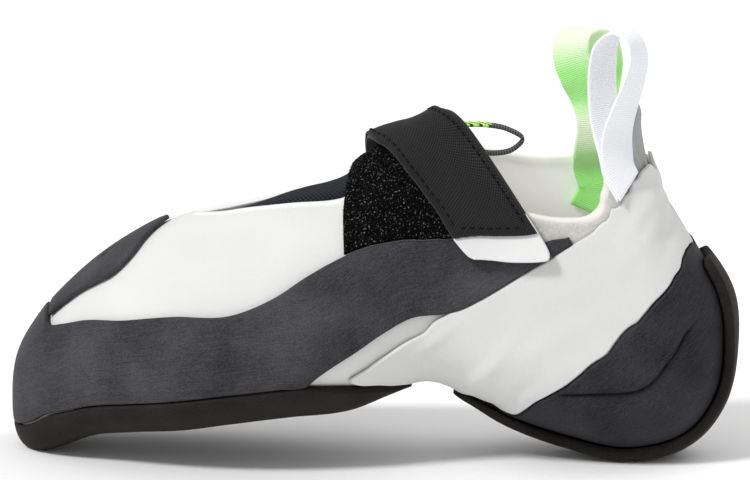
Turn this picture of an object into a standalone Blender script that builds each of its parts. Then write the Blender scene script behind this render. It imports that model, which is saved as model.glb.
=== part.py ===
"""A climbing shoe for the left foot, made as an assembly of separate pieces around one last.

Metres, +Z up. The shoe stands on its toe and heel on the plane Z = 0. The toe points to -X and the
outer side of the foot is -Y. The origin is the middle of the heel's flat spot on the floor.
"""

import math

import bpy
import numpy as np

# Sizes of the last, the foot form that the upper is stretched over
LAST_LENGTH = 0.250
BALL_WIDTH = 0.085
INSTEP_HEIGHT = 0.120
HEEL_HEIGHT = 0.120

# Walls and clearances. The last is the outer face of the upper, and every other piece is lifted from it. Flat
# facets cut a little inside their curve, so FACET_ROOM is added to the gap between pieces that lie face to face.
GAP = 0.0003
FACET_ROOM = 0.0005
UPPER_WALL = 0.0018
RAND_WALL = 0.0018
TOE_PATCH_WALL = 0.0015
BAND_WALL = 0.0014
CUP_WALL = 0.0019
CREST_RISE = 0.0009
STRIP_THICKNESS = 0.0034
SOLE_THICKNESS = 0.0045
CLOSURE_WALL = 0.0018
STRAP_BASE = 0.0010
STRAP_COVER = 0.0010
TONGUE_WALL = 0.0014
LINING_DROP = 0.0002
LINING_STEP = 0.0120
INSOLE_THICKNESS = 0.0022
FLAT_SINK = 0.0008
FLAT_REACH = 0.0014

# Webbing
LOOP_WIDTH = 0.0130
LOOP_RISE = 0.0480
LOOP_THICKNESS = 0.0012
LEG_STAND = 0.0009
CORD_WIDTH = 0.0060
CORD_REACH = 0.0230

# The last's sections, from the toe tip to the top of the heel. Each section is a plane through a point on the
# sole and a point on the instep: vertical at the toe, and fanned round the instep from the waist to the collar.
# station: place along the last. sole_x, top_x: shares of LAST_LENGTH. sole_z: share of HEEL_HEIGHT above the
# standing height. top_z: share of INSTEP_HEIGHT. mid_y, outer_y, inner_y: shares of BALL_WIDTH. widest: share
# of the way from sole to top. sole_square, top_square: 2 is an ellipse, and more is squarer.
LAST_COLUMNS = (
    "station", "sole_x", "sole_z", "top_x", "top_z", "mid_y", "outer_y", "inner_y", "widest",
    "sole_square", "top_square",
)
LAST_ROWS = (
    (0.000, -0.874, -0.036, -0.874, 0.318, 0.165, 0.010, 0.306, 0.40, 2.6, 2.1),
    (0.020, -0.848, -0.018, -0.848, 0.368, 0.153, -0.070, 0.388, 0.38, 2.6, 2.1),
    (0.045, -0.816, 0.012, -0.816, 0.443, 0.141, -0.165, 0.435, 0.36, 2.6, 2.1),
    (0.088, -0.760, 0.062, -0.760, 0.554, 0.129, -0.288, 0.470, 0.33, 2.6, 2.1),
    (0.135, -0.700, 0.082, -0.700, 0.642, 0.112, -0.388, 0.488, 0.31, 2.6, 2.1),
    (0.188, -0.632, 0.095, -0.632, 0.714, 0.094, -0.459, 0.494, 0.29, 2.6, 2.0),
    (0.243, -0.560, 0.120, -0.560, 0.750, 0.070, -0.494, 0.476, 0.28, 2.6, 2.0),
    (0.305, -0.480, 0.140, -0.480, 0.790, 0.047, -0.488, 0.430, 0.28, 2.5, 2.0),
    (0.373, -0.392, 0.156, -0.400, 0.838, 0.018, -0.447, 0.370, 0.30, 2.4, 2.0),
    (0.410, -0.336, 0.186, -0.370, 0.888, 0.000, -0.410, 0.347, 0.32, 2.3, 2.0),
    (0.445, -0.280, 0.207, -0.342, 0.924, 0.000, -0.380, 0.335, 0.34, 2.2, 2.0),
    (0.480, -0.224, 0.167, -0.318, 0.948, 0.000, -0.365, 0.335, 0.36, 2.2, 2.0),
    (0.530, -0.155, 0.094, -0.300, 0.966, 0.000, -0.360, 0.341, 0.36, 2.2, 2.0),
    (0.585, -0.072, 0.033, -0.282, 0.988, 0.000, -0.353, 0.347, 0.34, 2.2, 2.0),
    (0.635, 0.008, -0.002, -0.266, 1.012, 0.000, -0.353, 0.347, 0.32, 2.2, 2.1),
    (0.680, 0.080, 0.035, -0.254, 1.038, 0.000, -0.353, 0.347, 0.30, 2.2, 2.2),
    (0.725, 0.121, 0.142, -0.246, 1.066, 0.000, -0.347, 0.341, 0.30, 2.2, 2.3),
    (0.770, 0.134, 0.288, -0.240, 1.094, 0.000, -0.341, 0.335, 0.32, 2.2, 2.3),
    (0.810, 0.130, 0.428, -0.236, 1.122, 0.000, -0.335, 0.330, 0.34, 2.2, 2.3),
    (0.850, 0.100, 0.545, -0.232, 1.150, 0.000, -0.330, 0.324, 0.36, 2.2, 2.3),
    (0.890, 0.070, 0.653, -0.228, 1.178, 0.000, -0.324, 0.318, 0.38, 2.2, 2.3),
    (0.920, 0.042, 0.753, -0.226, 1.200, 0.000, -0.318, 0.312, 0.40, 2.2, 2.3),
    (0.950, 0.028, 0.847, -0.224, 1.222, 0.000, -0.312, 0.306, 0.42, 2.2, 2.3),
    (1.000, 0.014, 1.012, -0.220, 1.250, 0.000, -0.306, 0.300, 0.44, 2.2, 2.3),
)
NOSE_SHARE = 0.055
NOSE_SQUARE = 3.3
NOSE_LEVEL = 0.45
NOSE_TURN = NOSE_SHARE * math.pi / 2 / (1 - NOSE_SHARE + NOSE_SHARE * math.pi / 2)
SEAT = GAP + FACET_ROOM
FRONT_STACK = SEAT + SOLE_THICKNESS - FLAT_SINK
HEEL_STACK = 2 * SEAT + CUP_WALL + STRIP_THICKNESS - FLAT_SINK
STACK_CHANGE = (0.30, 0.60)

# Lines on the last. along runs 0 to 1 from the toe tip to the top of the heel. girth is 0 under the foot, 1 on
# the instep's ridge and negative on the inner side.
# The front sole's edge, shared with the rand, and then with the band under the arch
SOLE_EDGE = (
    (0.021, 0.000), (0.033, 0.276), (0.054, 0.372), (0.072, 0.404), (0.098, 0.388), (0.125, 0.380),
    (0.177, 0.378), (0.228, 0.385), (0.278, 0.383), (0.318, 0.378), (0.347, 0.370),
)
SOLE_TAIL = ((0.390, 0.318), (0.417, 0.243), (0.437, 0.150), (0.445, 0.090), (0.450, 0.000))
TAIL_THINNING = 0.45
# The wing's lower edge, and the edge that the rand shares with the toe patch, the quarter and the closure patch
WING_LOWER = (
    (0.362, 0.414), (0.380, 0.449), (0.415, 0.479), (0.450, 0.492), (0.475, 0.495), (0.497, 0.504),
    (0.520, 0.522), (0.558, 0.556), (0.597, 0.588), (0.645, 0.618), (0.689, 0.629), (0.718, 0.624),
    (0.740, 0.614),
)
RAND_UPPER = (
    (0.069, 1.000), (0.069, 0.950), (0.069, 0.900), (0.073, 0.800), (0.090, 0.745), (0.115, 0.705),
    (0.154, 0.661), (0.210, 0.640), (0.275, 0.625), (0.320, 0.650), (0.354, 0.682), (0.372, 0.694),
    (0.394, 0.698), (0.423, 0.683), (0.451, 0.664), (0.475, 0.655), (0.500, 0.652), (0.530, 0.658),
    (0.562, 0.664), (0.600, 0.666), (0.650, 0.662), (0.690, 0.652), (0.718, 0.641), (0.744, 0.622),
)
# The heel cup's edge and the band's outer edge, in pairs from the arch to the back of the heel
CUP_EDGE = (
    (0.500, 0.000), (0.506, 0.035), (0.515, 0.060), (0.528, 0.080), (0.538, 0.100), (0.545, 0.125),
    (0.551, 0.160), (0.557, 0.200), (0.567, 0.250), (0.582, 0.303), (0.600, 0.347), (0.619, 0.390),
    (0.643, 0.442), (0.668, 0.486), (0.695, 0.508), (0.722, 0.508), (0.747, 0.485), (0.770, 0.446),
    (0.795, 0.393), (0.818, 0.343), (0.840, 0.284), (0.857, 0.219), (0.867, 0.155), (0.872, 0.080),
    (0.873, 0.000),
)
BAND_EDGE = (
    (0.453, 0.000), (0.448, 0.091), (0.440, 0.151), (0.420, 0.245), (0.397, 0.318), (0.392, 0.344),
    (0.410, 0.370), (0.440, 0.402), (0.468, 0.430), (0.497, 0.504), (0.520, 0.522), (0.558, 0.556),
    (0.597, 0.588), (0.645, 0.618), (0.689, 0.629), (0.718, 0.624), (0.744, 0.612), (0.776, 0.587),
    (0.812, 0.553), (0.853, 0.503), (0.888, 0.420), (0.910, 0.343), (0.930, 0.252), (0.948, 0.135),
    (0.958, 0.000),
)
CORNER_ROW = 19
HEEL_CUTS = (13.5, 14.5, 15.5)
# The toe patch's rear edge on the outer side
PATCH_EDGE = (
    (0.0705, 0.860), (0.088, 0.848), (0.106, 0.836), (0.124, 0.820), (0.140, 0.816), (0.154, 0.836),
    (0.165, 0.868), (0.175, 0.915), (0.186, 0.958), (0.198, 0.990),
)
# The opening: the throat from the toe patch to the strap, then the collar up to the heel tab
OPENING_COLUMNS = ("along", "outer", "inner")
OPENING_ROWS = (
    (0.222, 1.000, -1.000), (0.226, 0.985, -0.995), (0.240, 0.966, -0.990), (0.285, 0.942, -0.976),
    (0.340, 0.908, -0.958), (0.387, 0.878, -0.942), (0.460, 0.850, -0.920), (0.520, 0.822, -0.890),
    (0.580, 0.790, -0.860), (0.640, 0.750, -0.825), (0.690, 0.708, -0.785), (0.728, 0.670, -0.745),
    (0.762, 0.632, -0.705), (0.796, 0.590, -0.660), (0.830, 0.556, -0.612), (0.865, 0.522, -0.562),
    (0.895, 0.478, -0.505), (0.917, 0.405, -0.425), (0.945, 0.318, -0.325), (0.975, 0.235, -0.240),
    (1.000, 0.130, -0.130),
)
# Where rows that cross the last stop running straight over the toe and follow its sections instead
TOE_TURN = (0.072, 0.200)
# Half the girth of the upper's opening under the front sole
MARGIN_ROWS = (
    (0.100, 0.230), (0.150, 0.270), (0.200, 0.285), (0.265, 0.285), (0.320, 0.260), (0.370, 0.200),
    (0.395, 0.140),
)
# The heel strip: along, half its girth, and its share of STRIP_THICKNESS
STRIP_ROWS = (
    (0.486, 0.040, 0.30), (0.492, 0.072, 0.42), (0.503, 0.090, 0.58), (0.530, 0.098, 0.85), (0.570, 0.104, 1.00),
    (0.605, 0.120, 1.00), (0.625, 0.132, 1.00), (0.645, 0.138, 1.00), (0.665, 0.139, 1.00), (0.690, 0.137, 1.00),
    (0.720, 0.128, 1.00), (0.760, 0.126, 1.00), (0.790, 0.145, 1.00), (0.815, 0.165, 1.00), (0.835, 0.172, 0.95),
    (0.847, 0.150, 0.85), (0.854, 0.095, 0.70),
)
STRIP_FLATTEN = 0.25
# Where the front sole comes down to its seat behind the toe
TOE_SEATING = (0.08, 0.16)
# The crest on the heel cup, and how far it spreads
CREST = ((0.600, 0.350), (0.640, 0.385), (0.690, 0.378), (0.735, 0.368), (0.765, 0.335), (0.795, 0.280))
CREST_SPREAD = 0.0045
# The closure patch and the strap, from the outer side over the instep: the front and rear edges at each girth.
# rise and front_rise: the strap's height at its rear and front edge, as shares of the closure patch's. bow: how
# far the strap's middle is ahead of its edges in girth.
CLOSURE_COLUMNS = ("girth", "front", "rear")
CLOSURE_ROWS = (
    (0.690, 0.391, 0.640), (0.740, 0.391, 0.640), (0.800, 0.392, 0.640), (0.880, 0.398, 0.625),
    (0.940, 0.404, 0.605), (1.000, 0.411, 0.580), (1.035, 0.418, 0.560),
)
STRAP_COLUMNS = ("girth", "front", "rear", "rise", "front_rise", "bow")
STRAP_ROWS = (
    (0.629, 0.572, 0.692, 2.00, 2.00, 0.008), (0.632, 0.564, 0.699, 1.95, 1.95, 0.008),
    (0.638, 0.559, 0.703, 1.85, 1.85, 0.008), (0.648, 0.554, 0.706, 1.70, 1.70, 0.008),
    (0.660, 0.549, 0.708, 1.50, 1.50, 0.008), (0.685, 0.543, 0.712, 1.20, 1.20, 0.006),
    (0.715, 0.534, 0.718, 1.05, 1.05, 0.003), (0.750, 0.516, 0.726, 1.00, 1.00, 0.000),
    (0.800, 0.497, 0.737, 1.00, 1.00, 0.000), (0.850, 0.484, 0.742, 1.00, 1.00, 0.000),
    (0.900, 0.472, 0.731, 1.00, 1.30, 0.000), (0.950, 0.457, 0.702, 1.00, 2.00, 0.000),
    (1.000, 0.448, 0.672, 1.00, 2.30, 0.000), (1.050, 0.441, 0.645, 1.00, 1.90, 0.000),
    (1.100, 0.434, 0.620, 0.80, 1.20, 0.000), (1.150, 0.429, 0.600, 0.45, 0.45, 0.000),
    (1.200, 0.426, 0.585, 0.15, 0.15, 0.000), (1.250, 0.424, 0.573, 0.00, 0.00, 0.000),
    (1.300, 0.423, 0.565, 0.00, 0.00, 0.000),
)
COVER_START = 4
COVER_INSET = 0.0003
# The tongue under the throat, and the insole's half girth
TONGUE_COLUMNS = ("along", "outer", "inner")
TONGUE_ROWS = (
    (0.204, 0.950, -0.950), (0.215, 0.920, -0.925), (0.250, 0.885, -0.915), (0.320, 0.850, -0.895),
    (0.400, 0.815, -0.870), (0.480, 0.790, -0.850), (0.560, 0.765, -0.830), (0.610, 0.775, -0.840),
    (0.640, 0.820, -0.870),
)
INSOLE_ROWS = (
    (0.082, 0.150), (0.092, 0.200), (0.110, 0.240), (0.150, 0.275), (0.210, 0.290), (0.280, 0.285),
    (0.350, 0.270), (0.420, 0.255), (0.500, 0.250), (0.570, 0.250), (0.620, 0.245), (0.650, 0.210),
    (0.668, 0.150),
)
# Pull loops at the heel: free points between the two fixed legs, as shares of LOOP_RISE from the point where the
# webbing leaves the rim. turn 0 is webbing that lies along the foot, and 1 is webbing that lies across it.
LOOP_COLUMNS = ("back", "side", "up", "turn")
OUTER_LEGS = ((0.905, 0.372), (0.925, 0.364), (0.944, 0.354))
OUTER_LOOP = (
    (-0.030, 0.040, 0.110, 0.30), (-0.075, 0.080, 0.270, 0.42), (-0.090, 0.100, 0.450, 0.44),
    (-0.088, 0.100, 0.630, 0.46), (-0.060, 0.080, 0.790, 0.56), (0.025, 0.040, 0.880, 0.70),
    (0.120, 0.000, 0.840, 0.72), (0.165, -0.030, 0.710, 0.67), (0.135, -0.060, 0.530, 0.60),
    (0.070, -0.070, 0.340, 0.50), (0.020, -0.040, 0.150, 0.40),
)
INNER_LEGS = ((0.772, -0.585), (0.815, -0.560), (0.858, -0.540))
INNER_LOOP = (
    (0.005, -0.090, 0.130, 0.00), (0.035, -0.115, 0.340, 0.00), (0.070, 0.010, 0.570, -0.05),
    (0.100, 0.120, 0.790, -0.10), (0.060, 0.110, 0.950, -0.25), (-0.035, 0.000, 1.030, -0.35),
    (-0.140, -0.120, 1.000, -0.25), (-0.165, -0.160, 0.880, -0.10), (-0.110, -0.160, 0.700, 0.00),
    (-0.015, -0.130, 0.510, 0.00), (0.025, -0.160, 0.320, 0.00), (0.010, -0.120, 0.130, 0.00),
)
# How far the outer loop's sewn end slants, to follow the band's edge, at each row of its legs
OUTER_SLANT = (0.38, 0.20, 0.00)
# The small loop on the tongue, as shares of CORD_REACH from the tongue's end
CORD_LOOP = (
    (0.36, -0.02), (0.74, -0.03), (1.06, -0.10), (1.28, -0.25), (1.14, -0.40), (0.84, -0.47), (0.48, -0.40),
)


def smooth(rows, values, at):
    """A smooth curve through values at rows, read at the places in at."""
    rows = np.asarray(rows, float)
    values = np.asarray(values, float)
    step = np.diff(rows)
    rise = np.diff(values) / step
    slope = np.empty_like(values)
    slope[1:-1] = (rise[:-1] * step[1:] + rise[1:] * step[:-1]) / (step[1:] + step[:-1])
    slope[0] = rise[0]
    slope[-1] = rise[-1]
    at = np.asarray(at, float)
    k = np.clip(np.searchsorted(rows, at) - 1, 0, len(step) - 1)
    h = step[k]
    t = (at - rows[k]) / h
    return (
        values[k] * (1 + 2 * t) * (1 - t) ** 2
        + slope[k] * h * t * (1 - t) ** 2
        + values[k + 1] * t**2 * (3 - 2 * t)
        + slope[k + 1] * h * t**2 * (t - 1)
    )


def ease(at, low, high):
    """0 below low and 1 above high, with a soft step between them."""
    t = np.clip((np.asarray(at, float) - low) / (high - low), 0, 1)
    return t * t * (3 - 2 * t)


def squared(angle, square):
    """Cosine and sine on a rounded square instead of a circle."""
    c = np.cos(angle)
    s = np.sin(angle)
    size = (np.abs(c) ** square + np.abs(s) ** square) ** (1 / square)
    return c / size, s / size


def last_surface(along, girth):
    """Points on the last."""
    along, girth = np.broadcast_arrays(np.asarray(along, float), np.asarray(girth, float))
    girth = (girth + 1) % 2 - 1
    turn = np.minimum(along / NOSE_TURN, 1) * math.pi / 2
    back, size = squared(turn, NOSE_SQUARE)
    beyond = np.maximum(along - NOSE_TURN, 0) / (1 - NOSE_TURN)
    station = np.where(along < NOSE_TURN, NOSE_SHARE * (1 - back), NOSE_SHARE + beyond * (1 - NOSE_SHARE))
    stations = [row[0] for row in LAST_ROWS]
    read = {
        name: smooth(stations, [row[k] for row in LAST_ROWS], station)
        for k, name in enumerate(LAST_COLUMNS)
        if k
    }
    angle = np.abs(girth) * math.pi
    low = angle < math.pi / 2
    down, out = squared(angle, np.where(low, read["sole_square"], read["top_square"]))
    widest = read["widest"]
    rise = np.where(low, widest * (1 - down), widest - (1 - widest) * down)
    half = np.where(girth > 0, read["outer_y"], read["inner_y"]) - read["mid_y"]
    rise = NOSE_LEVEL + size * (rise - NOSE_LEVEL)
    stack = FRONT_STACK + (HEEL_STACK - FRONT_STACK) * ease(station, *STACK_CHANGE)
    sole_z = stack + read["sole_z"] * HEEL_HEIGHT
    x = LAST_LENGTH * (read["sole_x"] + (read["top_x"] - read["sole_x"]) * rise)
    y = BALL_WIDTH * (read["mid_y"] + size * half * out)
    z = sole_z + (read["top_z"] * INSTEP_HEIGHT - sole_z) * rise
    return np.stack([x, y, z], axis=-1)


def to_map(along, girth):
    """The last laid flat round its toe tip: distance from the middle is along, and the angle is girth."""
    along, girth = np.broadcast_arrays(np.asarray(along, float), np.asarray(girth, float))
    return np.stack([along * np.sin(np.pi * girth), -along * np.cos(np.pi * girth)], axis=-1)


def from_map(at):
    return np.hypot(at[..., 0], at[..., 1]), np.arctan2(at[..., 0], -at[..., 1]) / np.pi


def last_slopes(at):
    """How the last moves for a step on the flat map, in its two directions."""
    step = 0.002
    slopes = []
    for k in (0, 1):
        shift = np.zeros(2)
        shift[k] = step
        slopes.append((last_surface(*from_map(at + shift)) - last_surface(*from_map(at - shift))) / (2 * step))
    return slopes


def last_normal(at):
    """Unit normals of the last at places on the flat map, facing out."""
    normal = np.cross(*last_slopes(at))
    return normal / np.linalg.norm(normal, axis=-1, keepdims=True)


def on_last(at, lift):
    """Points that stand a height of lift off the last."""
    return last_surface(*from_map(at)) + last_normal(at) * np.asarray(lift)[..., None]


def cuts(longest, *lines):
    """Row numbers along matching lines with more put between, so that no step on the last is over longest."""
    steps = 0.0
    for rows in lines:
        rows = np.asarray(rows, float)
        places = last_surface(rows[:, 0], rows[:, 1])
        steps = np.maximum(steps, np.linalg.norm(np.diff(places, axis=0), axis=1))
    parts = [k + np.arange(n) / n for k, n in enumerate(np.ceil(steps / longest - 0.05).clip(1).astype(int))]
    return np.concatenate(parts + [[float(len(steps))]])


def both_sides(rows):
    """The rows of a line that starts on the middle of the last, led there first along the inner side."""
    return tuple((a, -b) for a, b in rows[:0:-1]) + tuple(rows)


def both_cuts(at):
    return np.concatenate([at[-1] - at[:0:-1], at[-1] + at])


def line(rows, at, inset=0.0):
    """A smooth line through (along, girth) rows, as places on the flat map at the row numbers in at, moved to
    its left by inset metres."""
    rows = np.asarray(rows, float)
    places = last_surface(rows[:, 0], rows[:, 1])
    run = np.concatenate([[0], np.cumsum(np.linalg.norm(np.diff(places, axis=0), axis=1))])
    flat = to_map(rows[:, 0], rows[:, 1])
    at = np.interp(at, range(len(rows)), run)
    flat = np.stack([smooth(run, flat[:, 0], at), smooth(run, flat[:, 1], at)], axis=-1)
    if inset:
        flat = flat + sideways(flat) * inset
    return flat


def sideways(flat):
    """A step of one metre to the left of a line, as a step on the flat map."""
    ahead = np.gradient(flat, axis=0)
    first, second = last_slopes(flat)
    forward = first * ahead[:, :1] + second * ahead[:, 1:]
    left = np.cross(last_normal(flat), forward)
    left /= np.linalg.norm(left, axis=1, keepdims=True)
    a = (first * first).sum(1)
    b = (first * second).sum(1)
    c = (second * second).sum(1)
    d = (first * left).sum(1)
    e = (second * left).sum(1)
    return np.stack([c * d - b * e, a * e - b * d], axis=-1) / (a * c - b * b)[:, None]


def across(first, second, shares, under=False, toe=False):
    """Rows of places from the first line to the second, along the last's own sections. They take the short way
    round, or with under pass the sole. With toe they start straight on the flat map at the toe tip."""
    shares = np.asarray(shares, float)[None, :]
    u0, v0 = from_map(first)
    u1, v1 = from_map(second)
    if not under:
        v1 = v0 + (v1 - v0 + 1) % 2 - 1
    curved = to_map(u0[:, None] + (u1 - u0)[:, None] * shares, v0[:, None] + (v1 - v0)[:, None] * shares)
    if not toe:
        return curved
    straight = first[:, None] + (second - first)[:, None] * shares[..., None]
    keep = np.interp(np.minimum(u0, u1), TOE_TURN, (0, 1))[:, None, None]
    return straight * (1 - keep) + curved * keep


def read_rows(rows, at, column):
    return smooth(range(len(rows)), [row[column] for row in rows], at)


def even(count):
    return np.linspace(0, 1, count + 1)


def solid(name, inner, outer, material, keep=None, loop=False):
    """One closed body between two matching lattices of points. keep leaves cells out, and loop joins the last
    row to the first."""
    if loop:
        inner = np.concatenate([inner, inner[:1]])
        outer = np.concatenate([outer, outer[:1]])
    rows, columns = outer.shape[:2]
    both = np.concatenate([inner.reshape(-1, 3), outer.reshape(-1, 3)], axis=1)
    _, first, weld = np.unique(np.round(both, 7), axis=0, return_index=True, return_inverse=True)
    weld = weld.reshape(rows, columns)
    points = np.concatenate([both[first, :3], both[first, 3:]])
    half = len(first)
    faces = []
    edges = {}
    for i in range(rows - 1):
        for j in range(columns - 1):
            if keep is not None and not keep[i][j]:
                continue
            ring = [weld[i, j], weld[i + 1, j], weld[i + 1, j + 1], weld[i, j + 1]]
            ring = [a for k, a in enumerate(ring) if a != ring[k - 1]]
            if len(ring) < 3:
                continue
            faces.append([a + half for a in ring])
            faces.append(ring[::-1])
            for a, b in zip(ring, ring[1:] + ring[:1]):
                edges[a, b] = True
    for a, b in edges:
        if (b, a) not in edges:
            faces.append([b + half, a + half, a, b])
    mesh = bpy.data.meshes.new(name)
    mesh.from_pydata([tuple(p) for p in points.tolist()], [], [[int(a) for a in face] for face in faces])
    volume = 0.0
    for face in faces:
        for k in range(1, len(face) - 1):
            volume += np.dot(points[face[0]], np.cross(points[face[k]], points[face[k + 1]]))
    if volume < 0:
        mesh.flip_normals()
    mesh.validate()
    mesh.materials.append(material)
    made = bpy.data.objects.new(name, mesh)
    bpy.data.collections["Climbing shoe"].objects.link(made)
    return made


def rest_flat(points):
    """The lowest points of a tread, down to FLAT_REACH above the floor, are levelled with the floor."""
    points[..., 2] = np.where(points[..., 2] < FLAT_REACH, 0.0, points[..., 2])


def panel(name, places, low, high, material, keep=None, loop=False, floor=False):
    """A piece that lies on the last between the heights low and high."""
    low = np.broadcast_to(low, places.shape[:2])
    high = np.broadcast_to(high, places.shape[:2])
    outer = on_last(places, high)
    if floor:
        rest_flat(outer)
    return solid(name, on_last(places, low), outer, material, keep, loop)


def colour(name, red, green, blue, roughness):
    material = bpy.data.materials.new(name)
    material.use_nodes = True
    shader = material.node_tree.nodes["Principled BSDF"]
    shader.inputs["Base Color"].default_value = (red, green, blue, 1)
    shader.inputs["Roughness"].default_value = roughness
    shader.inputs["Metallic"].default_value = 0
    return material


for old in list(bpy.data.objects):
    bpy.data.objects.remove(old, do_unlink=True)
shoe = bpy.data.collections.new("Climbing shoe")
bpy.context.scene.collection.children.link(shoe)

MICROFIBRE = colour("White microfibre", 0.84, 0.83, 0.82, 0.75)
RUBBER = colour("Dark rubber", 0.065, 0.063, 0.070, 0.62)
SOLE_RUBBER = colour("Sole rubber", 0.030, 0.027, 0.026, 0.66)
MESH = colour("Black mesh", 0.020, 0.020, 0.022, 0.90)
FLEECE = colour("Black loop fastener", 0.012, 0.012, 0.013, 1.00)
STRAP_WHITE = colour("White strap base", 0.82, 0.81, 0.80, 0.70)
STRAP_BLACK = colour("Black strap cover", 0.022, 0.022, 0.025, 0.70)
BOARD = colour("Insole board", 0.45, 0.43, 0.40, 0.85)
WEBBING_WHITE = colour("White webbing", 0.78, 0.79, 0.82, 0.75)
WEBBING_GREEN = colour("Green webbing", 0.44, 0.85, 0.32, 0.75)
WEBBING_GREY = colour("Grey webbing", 0.09, 0.09, 0.10, 0.80)

# Objects

# Upper: one shell from the toe tip to the heel tab, open at the throat and collar and under the front sole
UPPER_ALONG = (
    0.0, 0.014, 0.028, 0.041, 0.052, 0.063, 0.075, 0.087, 0.100, 0.125, 0.155, 0.190, 0.222, 0.245, 0.280,
    0.315, 0.345, 0.370, 0.395, 0.420, 0.443, 0.466, 0.490, 0.518, 0.548, 0.575, 0.600, 0.624, 0.647, 0.670,
    0.693, 0.717, 0.741, 0.767, 0.794, 0.822, 0.851, 0.880, 0.910, 0.940, 0.970, 1.0,
)
MARGIN_STEPS = 2
SIDE_STEPS = 8


def opening(along):
    """The girth of the upper's edge on each side, 1 in front of the throat."""
    rows = [row[0] for row in OPENING_ROWS]
    sides = [np.interp(along, rows, [row[k] for row in OPENING_ROWS]) for k in (1, 2)]
    return [np.where(along <= rows[0], sign, side) for sign, side in zip((1, -1), sides)]


def margin(along):
    rows = [row[0] for row in MARGIN_ROWS]
    return np.interp(along, rows, [row[1] for row in MARGIN_ROWS])


along = np.array(UPPER_ALONG)
outer_rim, inner_rim = opening(along)
lower = margin(along)
girth = [
    np.concatenate([
        inner + (-low - inner) * even(SIDE_STEPS)[:-1],
        low * np.linspace(-1, 1, 2 * MARGIN_STEPS + 1)[:-1],
        low + (outer - low) * even(SIDE_STEPS),
    ])
    for outer, inner, low in zip(outer_rim, inner_rim, lower)
]
girth = np.array(girth)
places = to_map(along[:, None], girth)
cells = np.ones((len(along) - 1, girth.shape[1] - 1), bool)
hole = (along[:-1] > MARGIN_ROWS[0][0] - 0.001) & (along[:-1] < MARGIN_ROWS[-1][0] - 0.001)
cells[np.ix_(hole, range(SIDE_STEPS, SIDE_STEPS + 2 * MARGIN_STEPS))] = False
panel("upper", places, -UPPER_WALL, 0.0, MICROFIBRE, keep=cells)

# Front sole: thick under the foot, and as thin as the rand where it turns up to meet it
TOE_FACET = 0.0057
SIDE_FACET = 0.0135
rim_rows = SOLE_EDGE + SOLE_TAIL
rim_cuts = cuts(SIDE_FACET, rim_rows)
rim_cuts = np.unique(np.concatenate([cuts(TOE_FACET, SOLE_EDGE[:6]), rim_cuts[rim_cuts > 5]]))
rim = line(both_sides(rim_rows), both_cuts(rim_cuts), -0.6 * GAP)
middle = len(rim_cuts) - 1
corner = int(np.searchsorted(rim_cuts, 3.0))
outer_edge = rim[middle + corner:]
inner_edge = rim[middle - corner::-1]
places = across(outer_edge, inner_edge, (1 - np.cos(even(10) * math.pi)) / 2, toe=True)
down = np.clip(-last_normal(places)[..., 2], 0, 1)
reach = from_map(places)[0]
full = RAND_WALL + (SOLE_THICKNESS - RAND_WALL) * down**2
full *= 1 - TAIL_THINNING * ease(reach, SOLE_TAIL[0][0], SOLE_TAIL[-1][0])
bottom = SEAT + 1.4 * FACET_ROOM * (1 - ease(reach, *TOE_SEATING))
panel("outsole", places, bottom, SEAT + full, SOLE_RUBBER, floor=True)

# Rand round the toe, with a wing up each side of the instep
seam_rows = SOLE_EDGE + WING_LOWER
seam_cuts = cuts(SIDE_FACET, seam_rows)
seam_cuts = np.unique(np.concatenate([cuts(TOE_FACET, SOLE_EDGE[:6]), seam_cuts[seam_cuts > 5]]))
seam = line(both_sides(seam_rows), both_cuts(seam_cuts), GAP / 2)
crown = line(both_sides(RAND_UPPER), both_cuts(seam_cuts), -GAP / 2)
panel("rand", across(seam, crown, even(4), toe=True), SEAT, SEAT + RAND_WALL, RUBBER)

# Toe patch, behind the rand
patch_cuts = cuts(0.0070, PATCH_EDGE)
outer_edge = line(PATCH_EDGE, patch_cuts, GAP / 2)
inner_edge = outer_edge * (-1, 1)
panel("toe_patch", across(outer_edge, inner_edge, even(6)), SEAT, SEAT + TOE_PATCH_WALL, RUBBER)

# Heel cup, with its crest
cup_cuts = cuts(0.0110, [(row[0], 0.0) for row in CUP_EDGE])
fine_cuts = cuts(0.0058, CUP_EDGE, BAND_EDGE)
cup_cuts = np.unique(np.concatenate([cup_cuts[cup_cuts < CORNER_ROW], fine_cuts[fine_cuts >= CORNER_ROW], HEEL_CUTS]))
cup_edge = line(both_sides(CUP_EDGE), both_cuts(cup_cuts), -GAP / 2)
middle = len(cup_cuts) - 1
places = across(cup_edge[middle:], cup_edge[middle::-1], even(10), under=True)
crest = last_surface(*from_map(line(CREST, cuts(0.003, CREST))))
mirror = crest * (1, -1, 1)
away = np.linalg.norm(last_surface(*from_map(places))[:, :, None] - np.concatenate([crest, mirror]), axis=-1).min(-1)
top = SEAT + CUP_WALL + CREST_RISE * np.exp(-((away / CREST_SPREAD) ** 2))
panel("heel_cup", places, SEAT, top, RUBBER)

# Heel strip: under the heel and up its back, with a flattened tread
at = cuts(0.0090, [(row[0], 0.0) for row in STRIP_ROWS])
strip_along = read_rows(STRIP_ROWS, at, 0)
strip_half = read_rows(STRIP_ROWS, at, 1)
places = to_map(strip_along[:, None], strip_half[:, None] * np.linspace(-1, 1, 5))
low = 2 * SEAT + CUP_WALL
inner_face = on_last(places, np.full(places.shape[:2], low))
high = low + STRIP_THICKNESS * read_rows(STRIP_ROWS, at, 2)[:, None]
outer_face = on_last(places, np.broadcast_to(high, places.shape[:2]))
level = outer_face[:, 2:3, 2]
flatten = STRIP_FLATTEN * ease(-last_normal(places)[:, 2:3, 2], 0.80, 0.97)
outer_face[..., 2] += (level - outer_face[..., 2]) * flatten
rest_flat(outer_face)
solid("heel_strip", inner_face, outer_face, SOLE_RUBBER)

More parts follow.
